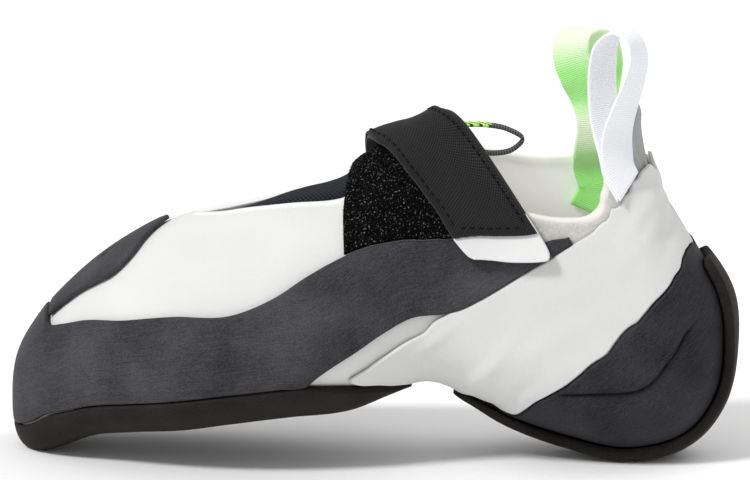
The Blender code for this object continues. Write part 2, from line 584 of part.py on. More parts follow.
# White band: round the heel cup, over the heel's back and under the arch
band_edge = line(both_sides(BAND_EDGE), both_cuts(cup_cuts), -0.6 * GAP)
cup_side = line(both_sides(CUP_EDGE), both_cuts(cup_cuts), 0.8 * GAP)
for edge in (band_edge, cup_side):
    edge[[0, -1], 0] = 0.0
panel("tension_band", across(cup_side, band_edge, even(4))[:-1], SEAT, SEAT + BAND_WALL, MICROFIBRE, loop=True)

# Tongue and insole
at = cuts(LINING_STEP, [(row[0], 1.0) for row in TONGUE_ROWS])
along, outer_side, inner_side = (read_rows(TONGUE_ROWS, at, k) for k in range(3))
girth = outer_side[:, None] + (2 + inner_side - outer_side)[:, None] * even(8)
low = -UPPER_WALL - SEAT - LINING_DROP - TONGUE_WALL
panel("tongue", to_map(along[:, None], girth), low, low + TONGUE_WALL, MESH)
tongue_face = low

at = cuts(0.9 * LINING_STEP, [(row[0], 0.0) for row in INSOLE_ROWS])
along, half = (read_rows(INSOLE_ROWS, at, k) for k in range(2))
low = -UPPER_WALL - SEAT - LINING_DROP - INSOLE_THICKNESS
panel("insole", to_map(along[:, None], half[:, None] * np.linspace(-1, 1, 6)), low, low + INSOLE_THICKNESS, BOARD)

# Closure patch: its lower edge follows the wing, and it bridges the throat
girths, front, rear = np.array(CLOSURE_ROWS).T
at = np.linspace(0, len(CLOSURE_ROWS) - 1, 11)
girths, front, rear = (smooth(range(len(CLOSURE_ROWS)), values, at) for values in (girths, front, rear))
share = even(7)
along = front[:, None] + (rear - front)[:, None] * share
wing = line(RAND_UPPER, np.linspace(11, 23, 60), 1.2 * GAP)
wing_along, wing_girth = from_map(wing)
lowest = np.interp(along, wing_along, wing_girth)
rows_share = ((girths - girths[0]) / (girths[-1] - girths[0]))[:, None]
girth = lowest + (girths[-1] - lowest) * rows_share
panel("closure_patch", to_map(along, girth), SEAT, SEAT + CLOSURE_WALL, FLEECE)

# Strap: a white base and a black cover that ends before the tab
WRAP = SEAT + CLOSURE_WALL


def strap_rows(first, inset, count):
    """Places and heights of a strap layer, its edges set in from the base's edges by inset."""
    at = np.linspace(first, len(STRAP_ROWS) - 1, count)
    girths, front, rear, rise, front_rise, bow = (read_rows(STRAP_ROWS, at, k)[:, None] for k in range(6))
    count = np.arange(count, dtype=float)
    edges = [line(np.hstack([side, girths]), count, sign * inset) for side, sign in ((front, -1), (rear, 1))]
    share = even(4)
    reach, girth = from_map(across(edges[0], edges[1], share))
    rise = rise + (front_rise - rise) * (1 - share) ** 2
    return to_map(reach, girth + bow * 4 * share * (1 - share)), rise.clip(0, None) * WRAP


places, rise = strap_rows(0, 0.0, 23)
panel("strap", places, rise + SEAT, rise + SEAT + STRAP_BASE, STRAP_WHITE)
places, rise = strap_rows(COVER_START, COVER_INSET, 19)
low = rise + SEAT + GAP + STRAP_BASE
panel("strap_cover", places, low, low + STRAP_COVER, STRAP_BLACK)


def ribbon(name, points, wides, slants, width, thickness, material):
    """Webbing along smooth points, each with the direction that its width takes and how far it slants."""
    points = np.array(points)
    wides = np.array(wides)
    run = np.concatenate([[0], np.cumsum(np.linalg.norm(np.diff(points, axis=0), axis=1))])
    at = np.concatenate([np.linspace(a, b, 2, endpoint=False) for a, b in zip(run, run[1:])] + [run[-1:]])
    middle = np.stack([smooth(run, points[:, k], at) for k in range(3)], 1)
    wide = np.stack([smooth(run, wides[:, k], at) for k in range(3)], 1)
    ahead = np.gradient(middle, axis=0)
    ahead /= np.linalg.norm(ahead, axis=1, keepdims=True)
    wide -= ahead * (wide * ahead).sum(1, keepdims=True)
    wide /= np.linalg.norm(wide, axis=1, keepdims=True)
    slant = np.interp(at, run, slants)[:, None]
    edge = (wide + ahead * slant) * width / 2
    sheet = np.stack([middle - edge, middle + edge], 1)
    half = (np.cross(wide, ahead) * thickness / 2)[:, None]
    solid(name, sheet - half, sheet + half, material)


def heel_loop(name, legs, slant, free, lift, away, material):
    """A pull loop whose two legs lie on the upper near its rim, one over the other. away is 1 outside the upper
    and -1 inside it."""
    fixed = to_map(*np.array(legs).T)
    stand = lift + away * LEG_STAND * np.array([0.0, 0.3, 1.0])
    near = on_last(fixed, stand)
    far = on_last(fixed, stand + away * (LOOP_THICKNESS + GAP))
    beside = np.cross(np.gradient(near, axis=0), last_normal(fixed))
    beside /= np.linalg.norm(beside, axis=1, keepdims=True) * np.sign(beside[:, :1])
    path = near[-1] + LOOP_RISE * np.array([row[:3] for row in free])
    turn = np.array([row[3] for row in free]) * math.pi / 2
    turned = np.stack([np.cos(turn), np.sin(turn), 0 * turn], axis=1)
    points = np.concatenate([near, path, far[::-1]])
    wides = np.concatenate([beside, turned, beside[::-1]])
    slants = np.concatenate([slant, 0 * turn, -np.array(slant)[::-1]])
    ribbon(name, points, wides, slants, LOOP_WIDTH, LOOP_THICKNESS, material)


outside = SEAT + LOOP_THICKNESS / 2
inside = -UPPER_WALL - SEAT - LOOP_THICKNESS / 2
heel_loop("heel_loop_outer", OUTER_LEGS, OUTER_SLANT, OUTER_LOOP, outside, 1, WEBBING_WHITE)
heel_loop("heel_loop_inner", INNER_LEGS, (0.0, 0.0, 0.0), INNER_LOOP, inside, -1, WEBBING_GREEN)

# The small loop on the tongue: one leg over the tongue's end and one under it
end = np.array([[0.612, 1.0], [0.640, 1.0]])
over = on_last(to_map(*end.T), -UPPER_WALL + FACET_ROOM + LOOP_THICKNESS / 2)
under = on_last(to_map(*end.T), tongue_face - SEAT - FACET_ROOM - LOOP_THICKNESS / 2)
path = [over[0], over[1]] + [over[1] + CORD_REACH * np.array([back, 0.0, rise]) for back, rise in CORD_LOOP]
path += [under[1], under[0]]
count = len(path)
ribbon("tongue_loop", path, [(0.0, 1.0, 0.0)] * count, [0.0] * count, CORD_WIDTH, LOOP_THICKNESS, WEBBING_GREY)
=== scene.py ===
# %% [markdown]
# A climbing shoe for the left foot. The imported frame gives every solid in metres, with the toe towards -X,
# the outer side of the foot towards -Y and the floor at Z = 0. This lesson dresses each solid in a finer
# piece of the same shape, with rubber, microfibre, mesh and webbing made from nodes.

# %% Load the frame
import math

import bpy
import numpy as np
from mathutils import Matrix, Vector


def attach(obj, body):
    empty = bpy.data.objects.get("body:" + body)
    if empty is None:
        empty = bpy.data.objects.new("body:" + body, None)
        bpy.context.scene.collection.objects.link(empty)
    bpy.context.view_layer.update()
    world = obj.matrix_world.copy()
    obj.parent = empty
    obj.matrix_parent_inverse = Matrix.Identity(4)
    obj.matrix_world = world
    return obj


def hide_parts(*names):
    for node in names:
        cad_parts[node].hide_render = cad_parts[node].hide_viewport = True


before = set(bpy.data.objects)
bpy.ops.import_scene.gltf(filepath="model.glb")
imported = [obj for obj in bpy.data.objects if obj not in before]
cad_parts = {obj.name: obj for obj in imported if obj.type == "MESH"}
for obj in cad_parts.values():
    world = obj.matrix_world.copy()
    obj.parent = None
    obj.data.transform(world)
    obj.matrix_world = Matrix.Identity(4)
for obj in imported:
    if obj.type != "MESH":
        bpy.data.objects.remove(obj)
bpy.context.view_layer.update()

print("loaded", len(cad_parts), "solids")

# %% [markdown]
# The photograph was taken with a long lens, a little above the shoe and square to its outer side. A long lens
# far away keeps the toe and heel at the same scale, so the camera stands a metre and a half off. One helper
# links every new object to the scene.

# %% Camera
CAMERA_DISTANCE = 1.5
CAMERA_LENS = 202


def add_object(name, data, place=(0, 0, 0)):
    made = bpy.data.objects.new(name, data)
    made.location = place
    bpy.context.scene.collection.objects.link(made)
    return made


target = Vector((-0.0895, 0.0, 0.0781))
azimuth, elevation = math.radians(1.0), math.radians(11.0)
towards = Vector((
    math.sin(azimuth) * math.cos(elevation), -math.cos(azimuth) * math.cos(elevation), math.sin(elevation),
))
camera = add_object("camera", bpy.data.cameras.new("camera"), target + CAMERA_DISTANCE * towards)
camera.data.lens = CAMERA_LENS
camera.rotation_euler = (-towards).to_track_quat("-Z", "Y").to_euler()
bpy.context.scene.camera = camera
print("camera at", [round(v, 3) for v in camera.location])

# %% [markdown]
# A shader is easier to read as arithmetic than as a list of links. Wire wraps one socket, so that adding or
# multiplying wires adds Math nodes, and Finish makes every other node: its kind, its settings, then its sockets.

# %% Shader helpers
class Wire:
    """One output socket. Arithmetic on it adds Math nodes to its material."""

    def __init__(self, finish, socket):
        self.finish = finish
        self.socket = socket

    def maths(self, operation, first, second=None):
        values = {0: first} if second is None else {0: first, 1: second}
        return self.finish.add("ShaderNodeMath", {"operation": operation}, values)

    def __rsub__(self, other):
        return self.maths("SUBTRACT", other, self)

    def clipped(self):
        return self.most(0.0).least(1.0)

    def wave(self):
        """A sine wave between 0 and 1."""
        return self.sine() * 0.5 + 0.5


OPERATIONS = {
    "__add__": "ADD", "__radd__": "ADD", "__sub__": "SUBTRACT", "__mul__": "MULTIPLY", "__rmul__": "MULTIPLY",
    "__truediv__": "DIVIDE", "__gt__": "GREATER_THAN", "sine": "SINE", "size": "ABSOLUTE", "power": "POWER",
    "least": "MINIMUM", "most": "MAXIMUM",
}
for way, operation in OPERATIONS.items():
    setattr(Wire, way, lambda self, other=None, operation=operation: self.maths(operation, self, other))


class Finish:
    """A material whose surface is made of nodes."""

    def __init__(self, name, roughness=0.7, sheen=0.0, specular=0.5):
        self.material = bpy.data.materials.new(name)
        self.material.use_nodes = True
        self.tree = self.material.node_tree
        self.shader = self.tree.nodes["Principled BSDF"]
        self.shader.inputs["Roughness"].default_value = roughness
        self.shader.inputs["Sheen Weight"].default_value = sheen
        self.shader.inputs["Specular IOR Level"].default_value = specular

    def add(self, kind, settings=None, sockets=None, out=0):
        node = self.tree.nodes.new(kind)
        for key, value in (settings or {}).items():
            if key == "stops":
                ramp = node.color_ramp.elements
                while len(ramp) < len(value):
                    ramp.new(0.5)
                for stop, (place, shade) in zip(ramp, value):
                    stop.position = place
                    stop.color = shade
            else:
                setattr(node, key, value)
        for key, value in (sockets or {}).items():
            self.feed(node.inputs[key], value)
        return Wire(self, node.outputs[out])

    def feed(self, socket, value):
        if isinstance(value, Wire):
            self.tree.links.new(value.socket, socket)
        elif isinstance(value, (tuple, list)) and len(value) == 3 and socket.type == "RGBA":
            socket.default_value = (*value, 1)
        else:
            socket.default_value = value

    def mix(self, mask, first, second):
        """The first colour where mask is 0 and the second where it is 1."""
        settings = {"data_type": "RGBA", "clamp_factor": True}
        return self.add("ShaderNodeMix", settings, {0: mask, 6: first, 7: second}, out=2)

    def noise(self, place, scale, detail=2.0, rough=0.5):
        return self.add("ShaderNodeTexNoise", {}, {
            "Vector": place, "Scale": scale, "Detail": detail, "Roughness": rough,
        })

    def stretch(self, place, scale, turn=0.0):
        """The same place seen at another scale along each of its directions."""
        return self.add("ShaderNodeMapping", {}, {"Vector": place, "Scale": scale, "Rotation": (0, 0, turn)})

    def part_of(self, place, axis):
        return self.add("ShaderNodeSeparateXYZ", {}, {0: place}, out=axis)

    def object_place(self):
        return self.add("ShaderNodeTexCoord", {}, {}, out=3)

    def cloth_place(self):
        """Millimetres along and across the piece, from its UV map."""
        return self.add("ShaderNodeUVMap", {"uv_map": "cloth"})

    def along_across(self):
        place = self.cloth_place()
        return self.part_of(place, 0), self.part_of(place, 1)

    def painted(self, name):
        """A value that the mesh carries at its points."""
        return self.add("ShaderNodeAttribute", {"attribute_name": name}, {}, out=2)

    def surface(self, colour=None, roughness=None, height=None, depth=0.0002):
        if colour is not None:
            self.feed(self.shader.inputs["Base Color"], colour)
        if roughness is not None:
            self.feed(self.shader.inputs["Roughness"], roughness)
        if height is not None:
            bump = self.add("ShaderNodeBump", {}, {"Height": height, "Distance": depth, "Strength": 1.0})
            self.feed(self.shader.inputs["Normal"], bump)
        return self.material


print("shader helpers ready")

# %% [markdown]
# The floor is a plain pale sweep. One soft light from the upper left in front draws the strap's shadow down and
# to the right, as in the photograph. It is far off, so that the floor stays evenly white right to the back. A
# weak lamp behind lights the heel's edge, and the pale world fills the shadows.

# %% Floor and lights
def lamp(name, kind, place, power, aim=(-0.09, 0.0, 0.06)):
    light = bpy.data.lights.new(name, kind)
    light.energy = power
    facing = Vector(aim) - Vector(place)
    add_object(name, light, place).rotation_euler = facing.to_track_quat("-Z", "Y").to_euler()
    return light


corners = [(-4, -4, 0), (4, -4, 0), (4, 4, 0), (-4, 4, 0)]
floor_mesh = bpy.data.meshes.new("floor")
floor_mesh.from_pydata(corners, [], [(0, 1, 2, 3)])
floor_mesh.materials.append(Finish("Pale floor", 0.9).surface((0.96, 0.96, 0.96)))
floor = add_object("floor", floor_mesh)
world = bpy.data.worlds.new("studio")
world.use_nodes = True
world.node_tree.nodes["Background"].inputs["Color"].default_value = (1, 1, 1, 1)
world.node_tree.nodes["Background"].inputs["Strength"].default_value = 0.62
bpy.context.scene.world = world
bpy.context.scene.view_settings.view_transform = "Standard"
lamp("key", "SUN", (-0.95, -0.70, 1.20), 2.20).angle = math.radians(11)
lamp("rim", "AREA", (0.55, 0.30, 0.75), 2.0).size = 0.60
print("floor, world and two lights")

# %% [markdown]
# Every piece of the shoe is stretched over one last, the form of the foot. The last is a row of sections, each
# a rounded square between a point on the sole and a point on the instep, and all the panels are drawn on it in
# two numbers: how far along it they are, and how far round.

# %% The last
LAST_LENGTH = 0.250
BALL_WIDTH = 0.085
INSTEP_HEIGHT = 0.120
HEEL_HEIGHT = 0.120
GAP = 0.0003
FACET_ROOM = 0.0005
RAND_WALL = 0.0018
SOLE_THICKNESS = 0.0045
CUP_WALL = 0.0019
STRIP_THICKNESS = 0.0034
FLAT_SINK = 0.0008
LAST_COLUMNS = (
    "station", "sole_x", "sole_z", "top_x", "top_z", "mid_y", "outer_y", "inner_y", "widest",
    "sole_square", "top_square",
)
LAST_ROWS = (
    (0.000, -0.874, -0.036, -0.874, 0.318, 0.165, 0.010, 0.306, 0.40, 2.6, 2.1),
    (0.020, -0.848, -0.018, -0.848, 0.368, 0.153, -0.070, 0.388, 0.38, 2.6, 2.1),
    (0.045, -0.816, 0.012, -0.816, 0.443, 0.141, -0.165, 0.435, 0.36, 2.6, 2.1),
    (0.088, -0.760, 0.062, -0.760, 0.554, 0.129, -0.288, 0.470, 0.33, 2.6, 2.1),
    (0.135, -0.700, 0.082, -0.700, 0.642, 0.112, -0.388, 0.488, 0.31, 2.6, 2.1),
    (0.188, -0.632, 0.095, -0.632, 0.714, 0.094, -0.459, 0.494, 0.29, 2.6, 2.0),
    (0.243, -0.560, 0.120, -0.560, 0.750, 0.070, -0.494, 0.476, 0.28, 2.6, 2.0),
    (0.305, -0.480, 0.140, -0.480, 0.790, 0.047, -0.488, 0.430, 0.28, 2.5, 2.0),
    (0.373, -0.392, 0.156, -0.400, 0.838, 0.018, -0.447, 0.370, 0.30, 2.4, 2.0),
    (0.410, -0.336, 0.186, -0.370, 0.888, 0.000, -0.410, 0.347, 0.32, 2.3, 2.0),
    (0.445, -0.280, 0.207, -0.342, 0.924, 0.000, -0.380, 0.335, 0.34, 2.2, 2.0),
    (0.480, -0.224, 0.167, -0.318, 0.948, 0.000, -0.365, 0.335, 0.36, 2.2, 2.0),
    (0.530, -0.155, 0.094, -0.300, 0.966, 0.000, -0.360, 0.341, 0.36, 2.2, 2.0),
    (0.585, -0.072, 0.033, -0.282, 0.988, 0.000, -0.353, 0.347, 0.34, 2.2, 2.0),
    (0.635, 0.008, -0.002, -0.266, 1.012, 0.000, -0.353, 0.347, 0.32, 2.2, 2.1),
    (0.680, 0.080, 0.035, -0.254, 1.038, 0.000, -0.353, 0.347, 0.30, 2.2, 2.2),
    (0.725, 0.121, 0.142, -0.246, 1.066, 0.000, -0.347, 0.341, 0.30, 2.2, 2.3),
    (0.770, 0.134, 0.288, -0.240, 1.094, 0.000, -0.341, 0.335, 0.32, 2.2, 2.3),
    (0.810, 0.130, 0.428, -0.236, 1.122, 0.000, -0.335, 0.330, 0.34, 2.2, 2.3),
    (0.850, 0.100, 0.545, -0.232, 1.150, 0.000, -0.330, 0.324, 0.36, 2.2, 2.3),
    (0.890, 0.070, 0.653, -0.228, 1.178, 0.000, -0.324, 0.318, 0.38, 2.2, 2.3),
    (0.920, 0.042, 0.753, -0.226, 1.200, 0.000, -0.318, 0.312, 0.40, 2.2, 2.3),
    (0.950, 0.028, 0.847, -0.224, 1.222, 0.000, -0.312, 0.306, 0.42, 2.2, 2.3),
    (1.000, 0.014, 1.012, -0.220, 1.250, 0.000, -0.306, 0.300, 0.44, 2.2, 2.3),
)
NOSE_SHARE = 0.055
NOSE_SQUARE = 3.3
NOSE_LEVEL = 0.45
NOSE_TURN = NOSE_SHARE * math.pi / 2 / (1 - NOSE_SHARE + NOSE_SHARE * math.pi / 2)
SEAT = GAP + FACET_ROOM

# How far the last stands off the floor at the toe and at the heel, where the rubber is a little flattened
FRONT_STACK = SEAT + SOLE_THICKNESS - FLAT_SINK
HEEL_STACK = 2 * SEAT + CUP_WALL + STRIP_THICKNESS - FLAT_SINK
STACK_CHANGE = (0.30, 0.60)
TOE_TURN = (0.072, 0.200)


def smooth(rows, values, at):
    """A smooth curve through values at rows, read at the places in at."""
    rows = np.asarray(rows, float)
    values = np.asarray(values, float)
    step = np.diff(rows)
    rise = np.diff(values) / step
    slope = np.empty_like(values)
    slope[1:-1] = (rise[:-1] * step[1:] + rise[1:] * step[:-1]) / (step[1:] + step[:-1])
    slope[0] = rise[0]
    slope[-1] = rise[-1]
    at = np.asarray(at, float)
    k = np.clip(np.searchsorted(rows, at) - 1, 0, len(step) - 1)
    h = step[k]
    t = (at - rows[k]) / h
    return (
        values[k] * (1 + 2 * t) * (1 - t) ** 2
        + slope[k] * h * t * (1 - t) ** 2
        + values[k + 1] * t**2 * (3 - 2 * t)
        + slope[k + 1] * h * t**2 * (t - 1)
    )


def ease(at, low, high):
    """0 below low and 1 above high, with a soft step between them."""
    t = np.clip((np.asarray(at, float) - low) / (high - low), 0, 1)
    return t * t * (3 - 2 * t)


def hump(away, width):
    """1 at nothing away, falling softly to 0 on both sides."""
    return np.exp(-((away / width) ** 2))


def squared(angle, square):
    """Cosine and sine on a rounded square instead of a circle."""
    c = np.cos(angle)
    s = np.sin(angle)
    size = (np.abs(c) ** square + np.abs(s) ** square) ** (1 / square)
    return c / size, s / size


def last_surface(along, girth):
    """Points on the last."""
    along, girth = np.broadcast_arrays(np.asarray(along, float), np.asarray(girth, float))
    girth = (girth + 1) % 2 - 1
    turn = np.minimum(along / NOSE_TURN, 1) * math.pi / 2
    back, size = squared(turn, NOSE_SQUARE)
    beyond = np.maximum(along - NOSE_TURN, 0) / (1 - NOSE_TURN)
    station = np.where(along < NOSE_TURN, NOSE_SHARE * (1 - back), NOSE_SHARE + beyond * (1 - NOSE_SHARE))
    stations = [row[0] for row in LAST_ROWS]
    read = {
        name: smooth(stations, [row[k] for row in LAST_ROWS], station)
        for k, name in enumerate(LAST_COLUMNS)
        if k
    }
    angle = np.abs(girth) * math.pi
    low = angle < math.pi / 2
    down, out = squared(angle, np.where(low, read["sole_square"], read["top_square"]))
    widest = read["widest"]
    rise = np.where(low, widest * (1 - down), widest - (1 - widest) * down)
    half = np.where(girth > 0, read["outer_y"], read["inner_y"]) - read["mid_y"]
    rise = NOSE_LEVEL + size * (rise - NOSE_LEVEL)
    stack = FRONT_STACK + (HEEL_STACK - FRONT_STACK) * ease(station, *STACK_CHANGE)
    sole_z = stack + read["sole_z"] * HEEL_HEIGHT
    x = LAST_LENGTH * (read["sole_x"] + (read["top_x"] - read["sole_x"]) * rise)
    y = BALL_WIDTH * (read["mid_y"] + size * half * out)
    z = sole_z + (read["top_z"] * INSTEP_HEIGHT - sole_z) * rise
    return np.stack([x, y, z], axis=-1)


ball = last_surface(0.3, [-0.5, 0.5])
print("width of the last at the ball", round(float(ball[0, 1] - ball[1, 1]) * 1000, 1), "mm")

# %% [markdown]
# Near the toe tip the sections crowd together, so the panels are drawn on a flat map instead: its middle is the
# toe tip, the distance from there is the place along the last, and the angle is the place round it. A panel
# is lifted from the last along its normal, which comes from how the last slopes on that map.

# %% Places on the last
def unit(vectors):
    return vectors / np.linalg.norm(vectors, axis=-1, keepdims=True)


def run_of(points, axis):
    """Metres along the rows (axis 0) or the columns (axis 1) of a sheet of points."""
    steps = np.linalg.norm(np.diff(points, axis=axis), axis=-1)
    start = np.zeros_like(steps.take([0], axis=axis))
    return np.concatenate([start, np.cumsum(steps, axis=axis)], axis=axis)


def to_map(along, girth):
    """The last laid flat round its toe tip: distance from the middle is along, and the angle is girth."""
    along, girth = np.broadcast_arrays(np.asarray(along, float), np.asarray(girth, float))
    return np.stack([along * np.sin(np.pi * girth), -along * np.cos(np.pi * girth)], axis=-1)


def from_map(at):
    return np.hypot(at[..., 0], at[..., 1]), np.arctan2(at[..., 0], -at[..., 1]) / np.pi


def last_slopes(at):
    """How the last moves for a step on the flat map, in its two directions."""
    step = 0.002
    slopes = []
    for k in (0, 1):
        shift = np.zeros(2)
        shift[k] = step
        slopes.append((last_surface(*from_map(at + shift)) - last_surface(*from_map(at - shift))) / (2 * step))
    return slopes


def last_normal(at):
    """Unit normals of the last at places on the flat map, facing out."""
    return unit(np.cross(*last_slopes(at)))


def on_last(at, lift):
    """Points that stand a height of lift off the last."""
    return last_surface(*from_map(at)) + last_normal(at) * np.asarray(lift)[..., None]


tip = on_last(to_map(0.0, 0.0), np.array(0.0))
print("toe tip at", [round(float(v) * 1000, 1) for v in tip], "mm")

# %% [markdown]
# A panel lies between two lines. Each line is a short table of places joined smoothly, and rows of points run
# across from one line to the other. The steps are a millimetre or so, with more of them near the panel's edges,
# where the material rounds over.

# %% Lines and panels
def cuts(longest, *lines):
    """Row numbers along matching lines with more put between, so that no step on the last is over longest."""
    steps = 0.0
    for rows in lines:
        rows = np.asarray(rows, float)
        places = last_surface(rows[:, 0], rows[:, 1])
        steps = np.maximum(steps, np.linalg.norm(np.diff(places, axis=0), axis=1))
    parts = [k + np.arange(n) / n for k, n in enumerate(np.ceil(steps / longest - 0.05).clip(1).astype(int))]
    return np.concatenate(parts + [[float(len(steps))]])


def both_sides(rows):
    """The rows of a line that starts on the middle of the last, led there first along the inner side."""
    return tuple((a, -b) for a, b in rows[:0:-1]) + tuple(rows)


def both_cuts(at):
    return np.concatenate([at[-1] - at[:0:-1], at[-1] + at])


def line(rows, at, inset=0.0):
    """A smooth line through (along, girth) rows, as places on the flat map at the row numbers in at, moved to
    its left by inset metres."""
    rows = np.asarray(rows, float)
    places = last_surface(rows[:, 0], rows[:, 1])
    run = run_of(places, 0)
    flat = to_map(rows[:, 0], rows[:, 1])
    at = np.interp(at, range(len(rows)), run)
    flat = np.stack([smooth(run, flat[:, 0], at), smooth(run, flat[:, 1], at)], axis=-1)
    if inset:
        flat = flat + sideways(flat) * inset
    return flat


def whole_line(rows, at, inset):
    """A line that starts on the middle of the last, with its mirror image on the inner side before it."""
    return line(both_sides(rows), both_cuts(at), inset)


def sideways(flat):
    """A step of one metre to the left of a line, as a step on the flat map."""
    ahead = np.gradient(flat, axis=0)
    first, second = last_slopes(flat)
    forward = first * ahead[:, :1] + second * ahead[:, 1:]
    left = unit(np.cross(last_normal(flat), forward))
    pairs = ((first, first), (first, second), (second, second), (first, left), (second, left))
    a, b, c, d, e = ((one * other).sum(1) for one, other in pairs)
    return np.stack([c * d - b * e, a * e - b * d], axis=-1) / (a * c - b * b)[:, None]


def across(first, second, shares, under=False, toe=False):
    """Rows of places from the first line to the second, along the last's own sections. They take the short way
    round, or with under pass the sole. With toe they start straight on the flat map at the toe tip."""
    shares = np.asarray(shares, float)[None, :]
    u0, v0 = from_map(first)
    u1, v1 = from_map(second)
    if not under:
        v1 = v0 + (v1 - v0 + 1) % 2 - 1
    curved = to_map(u0[:, None] + (u1 - u0)[:, None] * shares, v0[:, None] + (v1 - v0)[:, None] * shares)
    if not toe:
        return curved
    straight = first[:, None] + (second - first)[:, None] * shares[..., None]
    keep = np.interp(np.minimum(u0, u1), TOE_TURN, (0, 1))[:, None, None]
    return straight * (1 - keep) + curved * keep


def read_rows(rows, at, column):
    return smooth(range(len(rows)), [row[column] for row in rows], at)


def fine(longest, *rows):
    """Row numbers a short step apart, and closer together at both ends."""
    at = cuts(longest, *rows)
    ends = (0.08, 0.2, 0.4, 0.7)
    first = at[0] + (at[1] - at[0]) * np.array(ends)
    last = at[-1] - (at[-1] - at[-2]) * np.array(ends)
    return np.unique(np.concatenate([at, first, last]))


def shares(count, crowd=0.65):
    """Shares from 0 to 1 that crowd together at both ends."""
    t = np.linspace(0, 1, count + 1)
    return (1 - crowd) * t + crowd * (1 - np.cos(math.pi * t)) / 2


print("shares crowd at the ends:", [round(float(v), 3) for v in shares(8)])

# %% [markdown]
# One helper turns two matching sheets of points, the inner and the outer face, into a closed mesh with smooth
# shading. It welds points that fall on the same spot, such as the middle of the toe, and stores the
# millimetres along and across the sheet as a UV map, so that a weave follows the piece.

# %% From points to a mesh
def new_piece(name, points, faces, material):
    mesh = bpy.data.meshes.new(name)
    mesh.from_pydata(points.tolist(), [], faces)
    mesh.polygons.foreach_set("use_smooth", np.ones(len(faces), bool))
    mesh.materials.append(material)
    piece = add_object(name, mesh)
    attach(piece, "root")
    print(name, len(faces), "faces")
    return piece


def sheet(name, node, inner, outer, material, loop=False, painted=None):
    """A closed mesh between two sheets of points. painted holds values for the points: one set for both faces, or
    one for the inner and one for the outer."""
    painted = dict(painted or {})
    if loop:
        inner = np.concatenate([inner, inner[:1]])
        outer = np.concatenate([outer, outer[:1]])
        painted = {key: np.concatenate([value, value[:1]]) for key, value in painted.items()}
    rows, columns = outer.shape[:2]
    u = run_of(outer, 0) * 1000
    v = run_of(outer, 1) * 1000
    u = np.broadcast_to(u.mean(1, keepdims=True), u.shape)
    both = np.concatenate([inner.reshape(-1, 3), outer.reshape(-1, 3)], axis=1)
    _, first, weld = np.unique(np.round(both, 7), axis=0, return_index=True, return_inverse=True)
    weld = weld.reshape(rows, columns)
    half = len(first)
    i, j = np.meshgrid(range(rows - 1), range(columns - 1), indexing="ij")
    ring = np.stack([weld[i, j], weld[i + 1, j], weld[i + 1, j + 1], weld[i, j + 1]], -1).reshape(-1, 4)
    cell = np.stack([i * columns + j, (i + 1) * columns + j, (i + 1) * columns + j + 1, i * columns + j + 1], -1)
    cell = cell.reshape(-1, 4)
    faces, spots, edges = [], [], {}
    for corners, places in zip(ring.tolist(), cell.tolist()):
        kept = [k for k in range(4) if corners[k] != corners[k - 1]]
        if len(kept) < 3:
            continue
        corners = [corners[k] for k in kept]
        places = [places[k] for k in kept]
        faces.append([a + half for a in corners])
        spots.append(places)
        faces.append(corners[::-1])
        spots.append(places[::-1])
        for k, a in enumerate(corners):
            b = corners[(k + 1) % len(corners)]
            edges[a, b] = (places[k], places[(k + 1) % len(places)])
    for (a, b), (pa, pb) in edges.items():
        if (b, a) not in edges:
            faces.append([b + half, a + half, a, b])
            spots.append([pb, pa, pa, pb])
    points = np.concatenate([both[first, :3], both[first, 3:]])
    piece = new_piece(name, points, faces, material)
    mesh = piece.data
    cloth = np.stack([u.reshape(-1), v.reshape(-1)], 1)[np.concatenate(spots)]
    mesh.uv_layers.new(name="cloth").data.foreach_set("uv", cloth.astype(np.float32).ravel())
    for key, value in painted.items():
        value = np.broadcast_to(value, (2, *outer.shape[:2])).reshape(2, -1)[:, first].ravel()
        mesh.attributes.new(key, "FLOAT", "POINT").data.foreach_set("value", value.astype(np.float32))
    size = np.einsum("ij,ij->i", points[[f[0] for f in faces]],
                     np.cross(points[[f[1] for f in faces]], points[[f[2] for f in faces]])).sum()
    if size < 0:
        mesh.flip_normals()
    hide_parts(node)


def from_edge(points, loop=False):
    """Metres from each point of a sheet to the sheet's edge."""
    across_run = run_of(points, 1)
    away = np.minimum(across_run, across_run[:, -1:] - across_run)
    if not loop:
        along_run = run_of(points, 0)
        away = np.minimum(away, np.minimum(along_run, along_run[-1:] - along_run))
    return away


def rounded(away, radius):
    """1 in the middle of a sheet, falling to 0 at its edge on a quarter circle."""
    t = np.clip(away / radius, 0, 1)
    return np.sqrt(np.clip(1 - (1 - t) ** 2, 0, 1))


def panel(name, node, places, low, wall, material, edge=0.0009, loop=False, relief=0.0, painted=None,
          floor=False):
    """A panel on the last, from the height low up through its wall, with a rounded edge."""
    low = np.broadcast_to(low, places.shape[:2])
    inner = on_last(places, low)
    fall = rounded(from_edge(inner, loop), edge)
    outer = on_last(places, low + wall * (0.35 + 0.65 * fall) + relief)
    if floor:
        outer[..., 2] = np.maximum(outer[..., 2], 0.0)
    sheet(name, node, inner, outer, material, loop, painted)


print("mesh helpers ready")
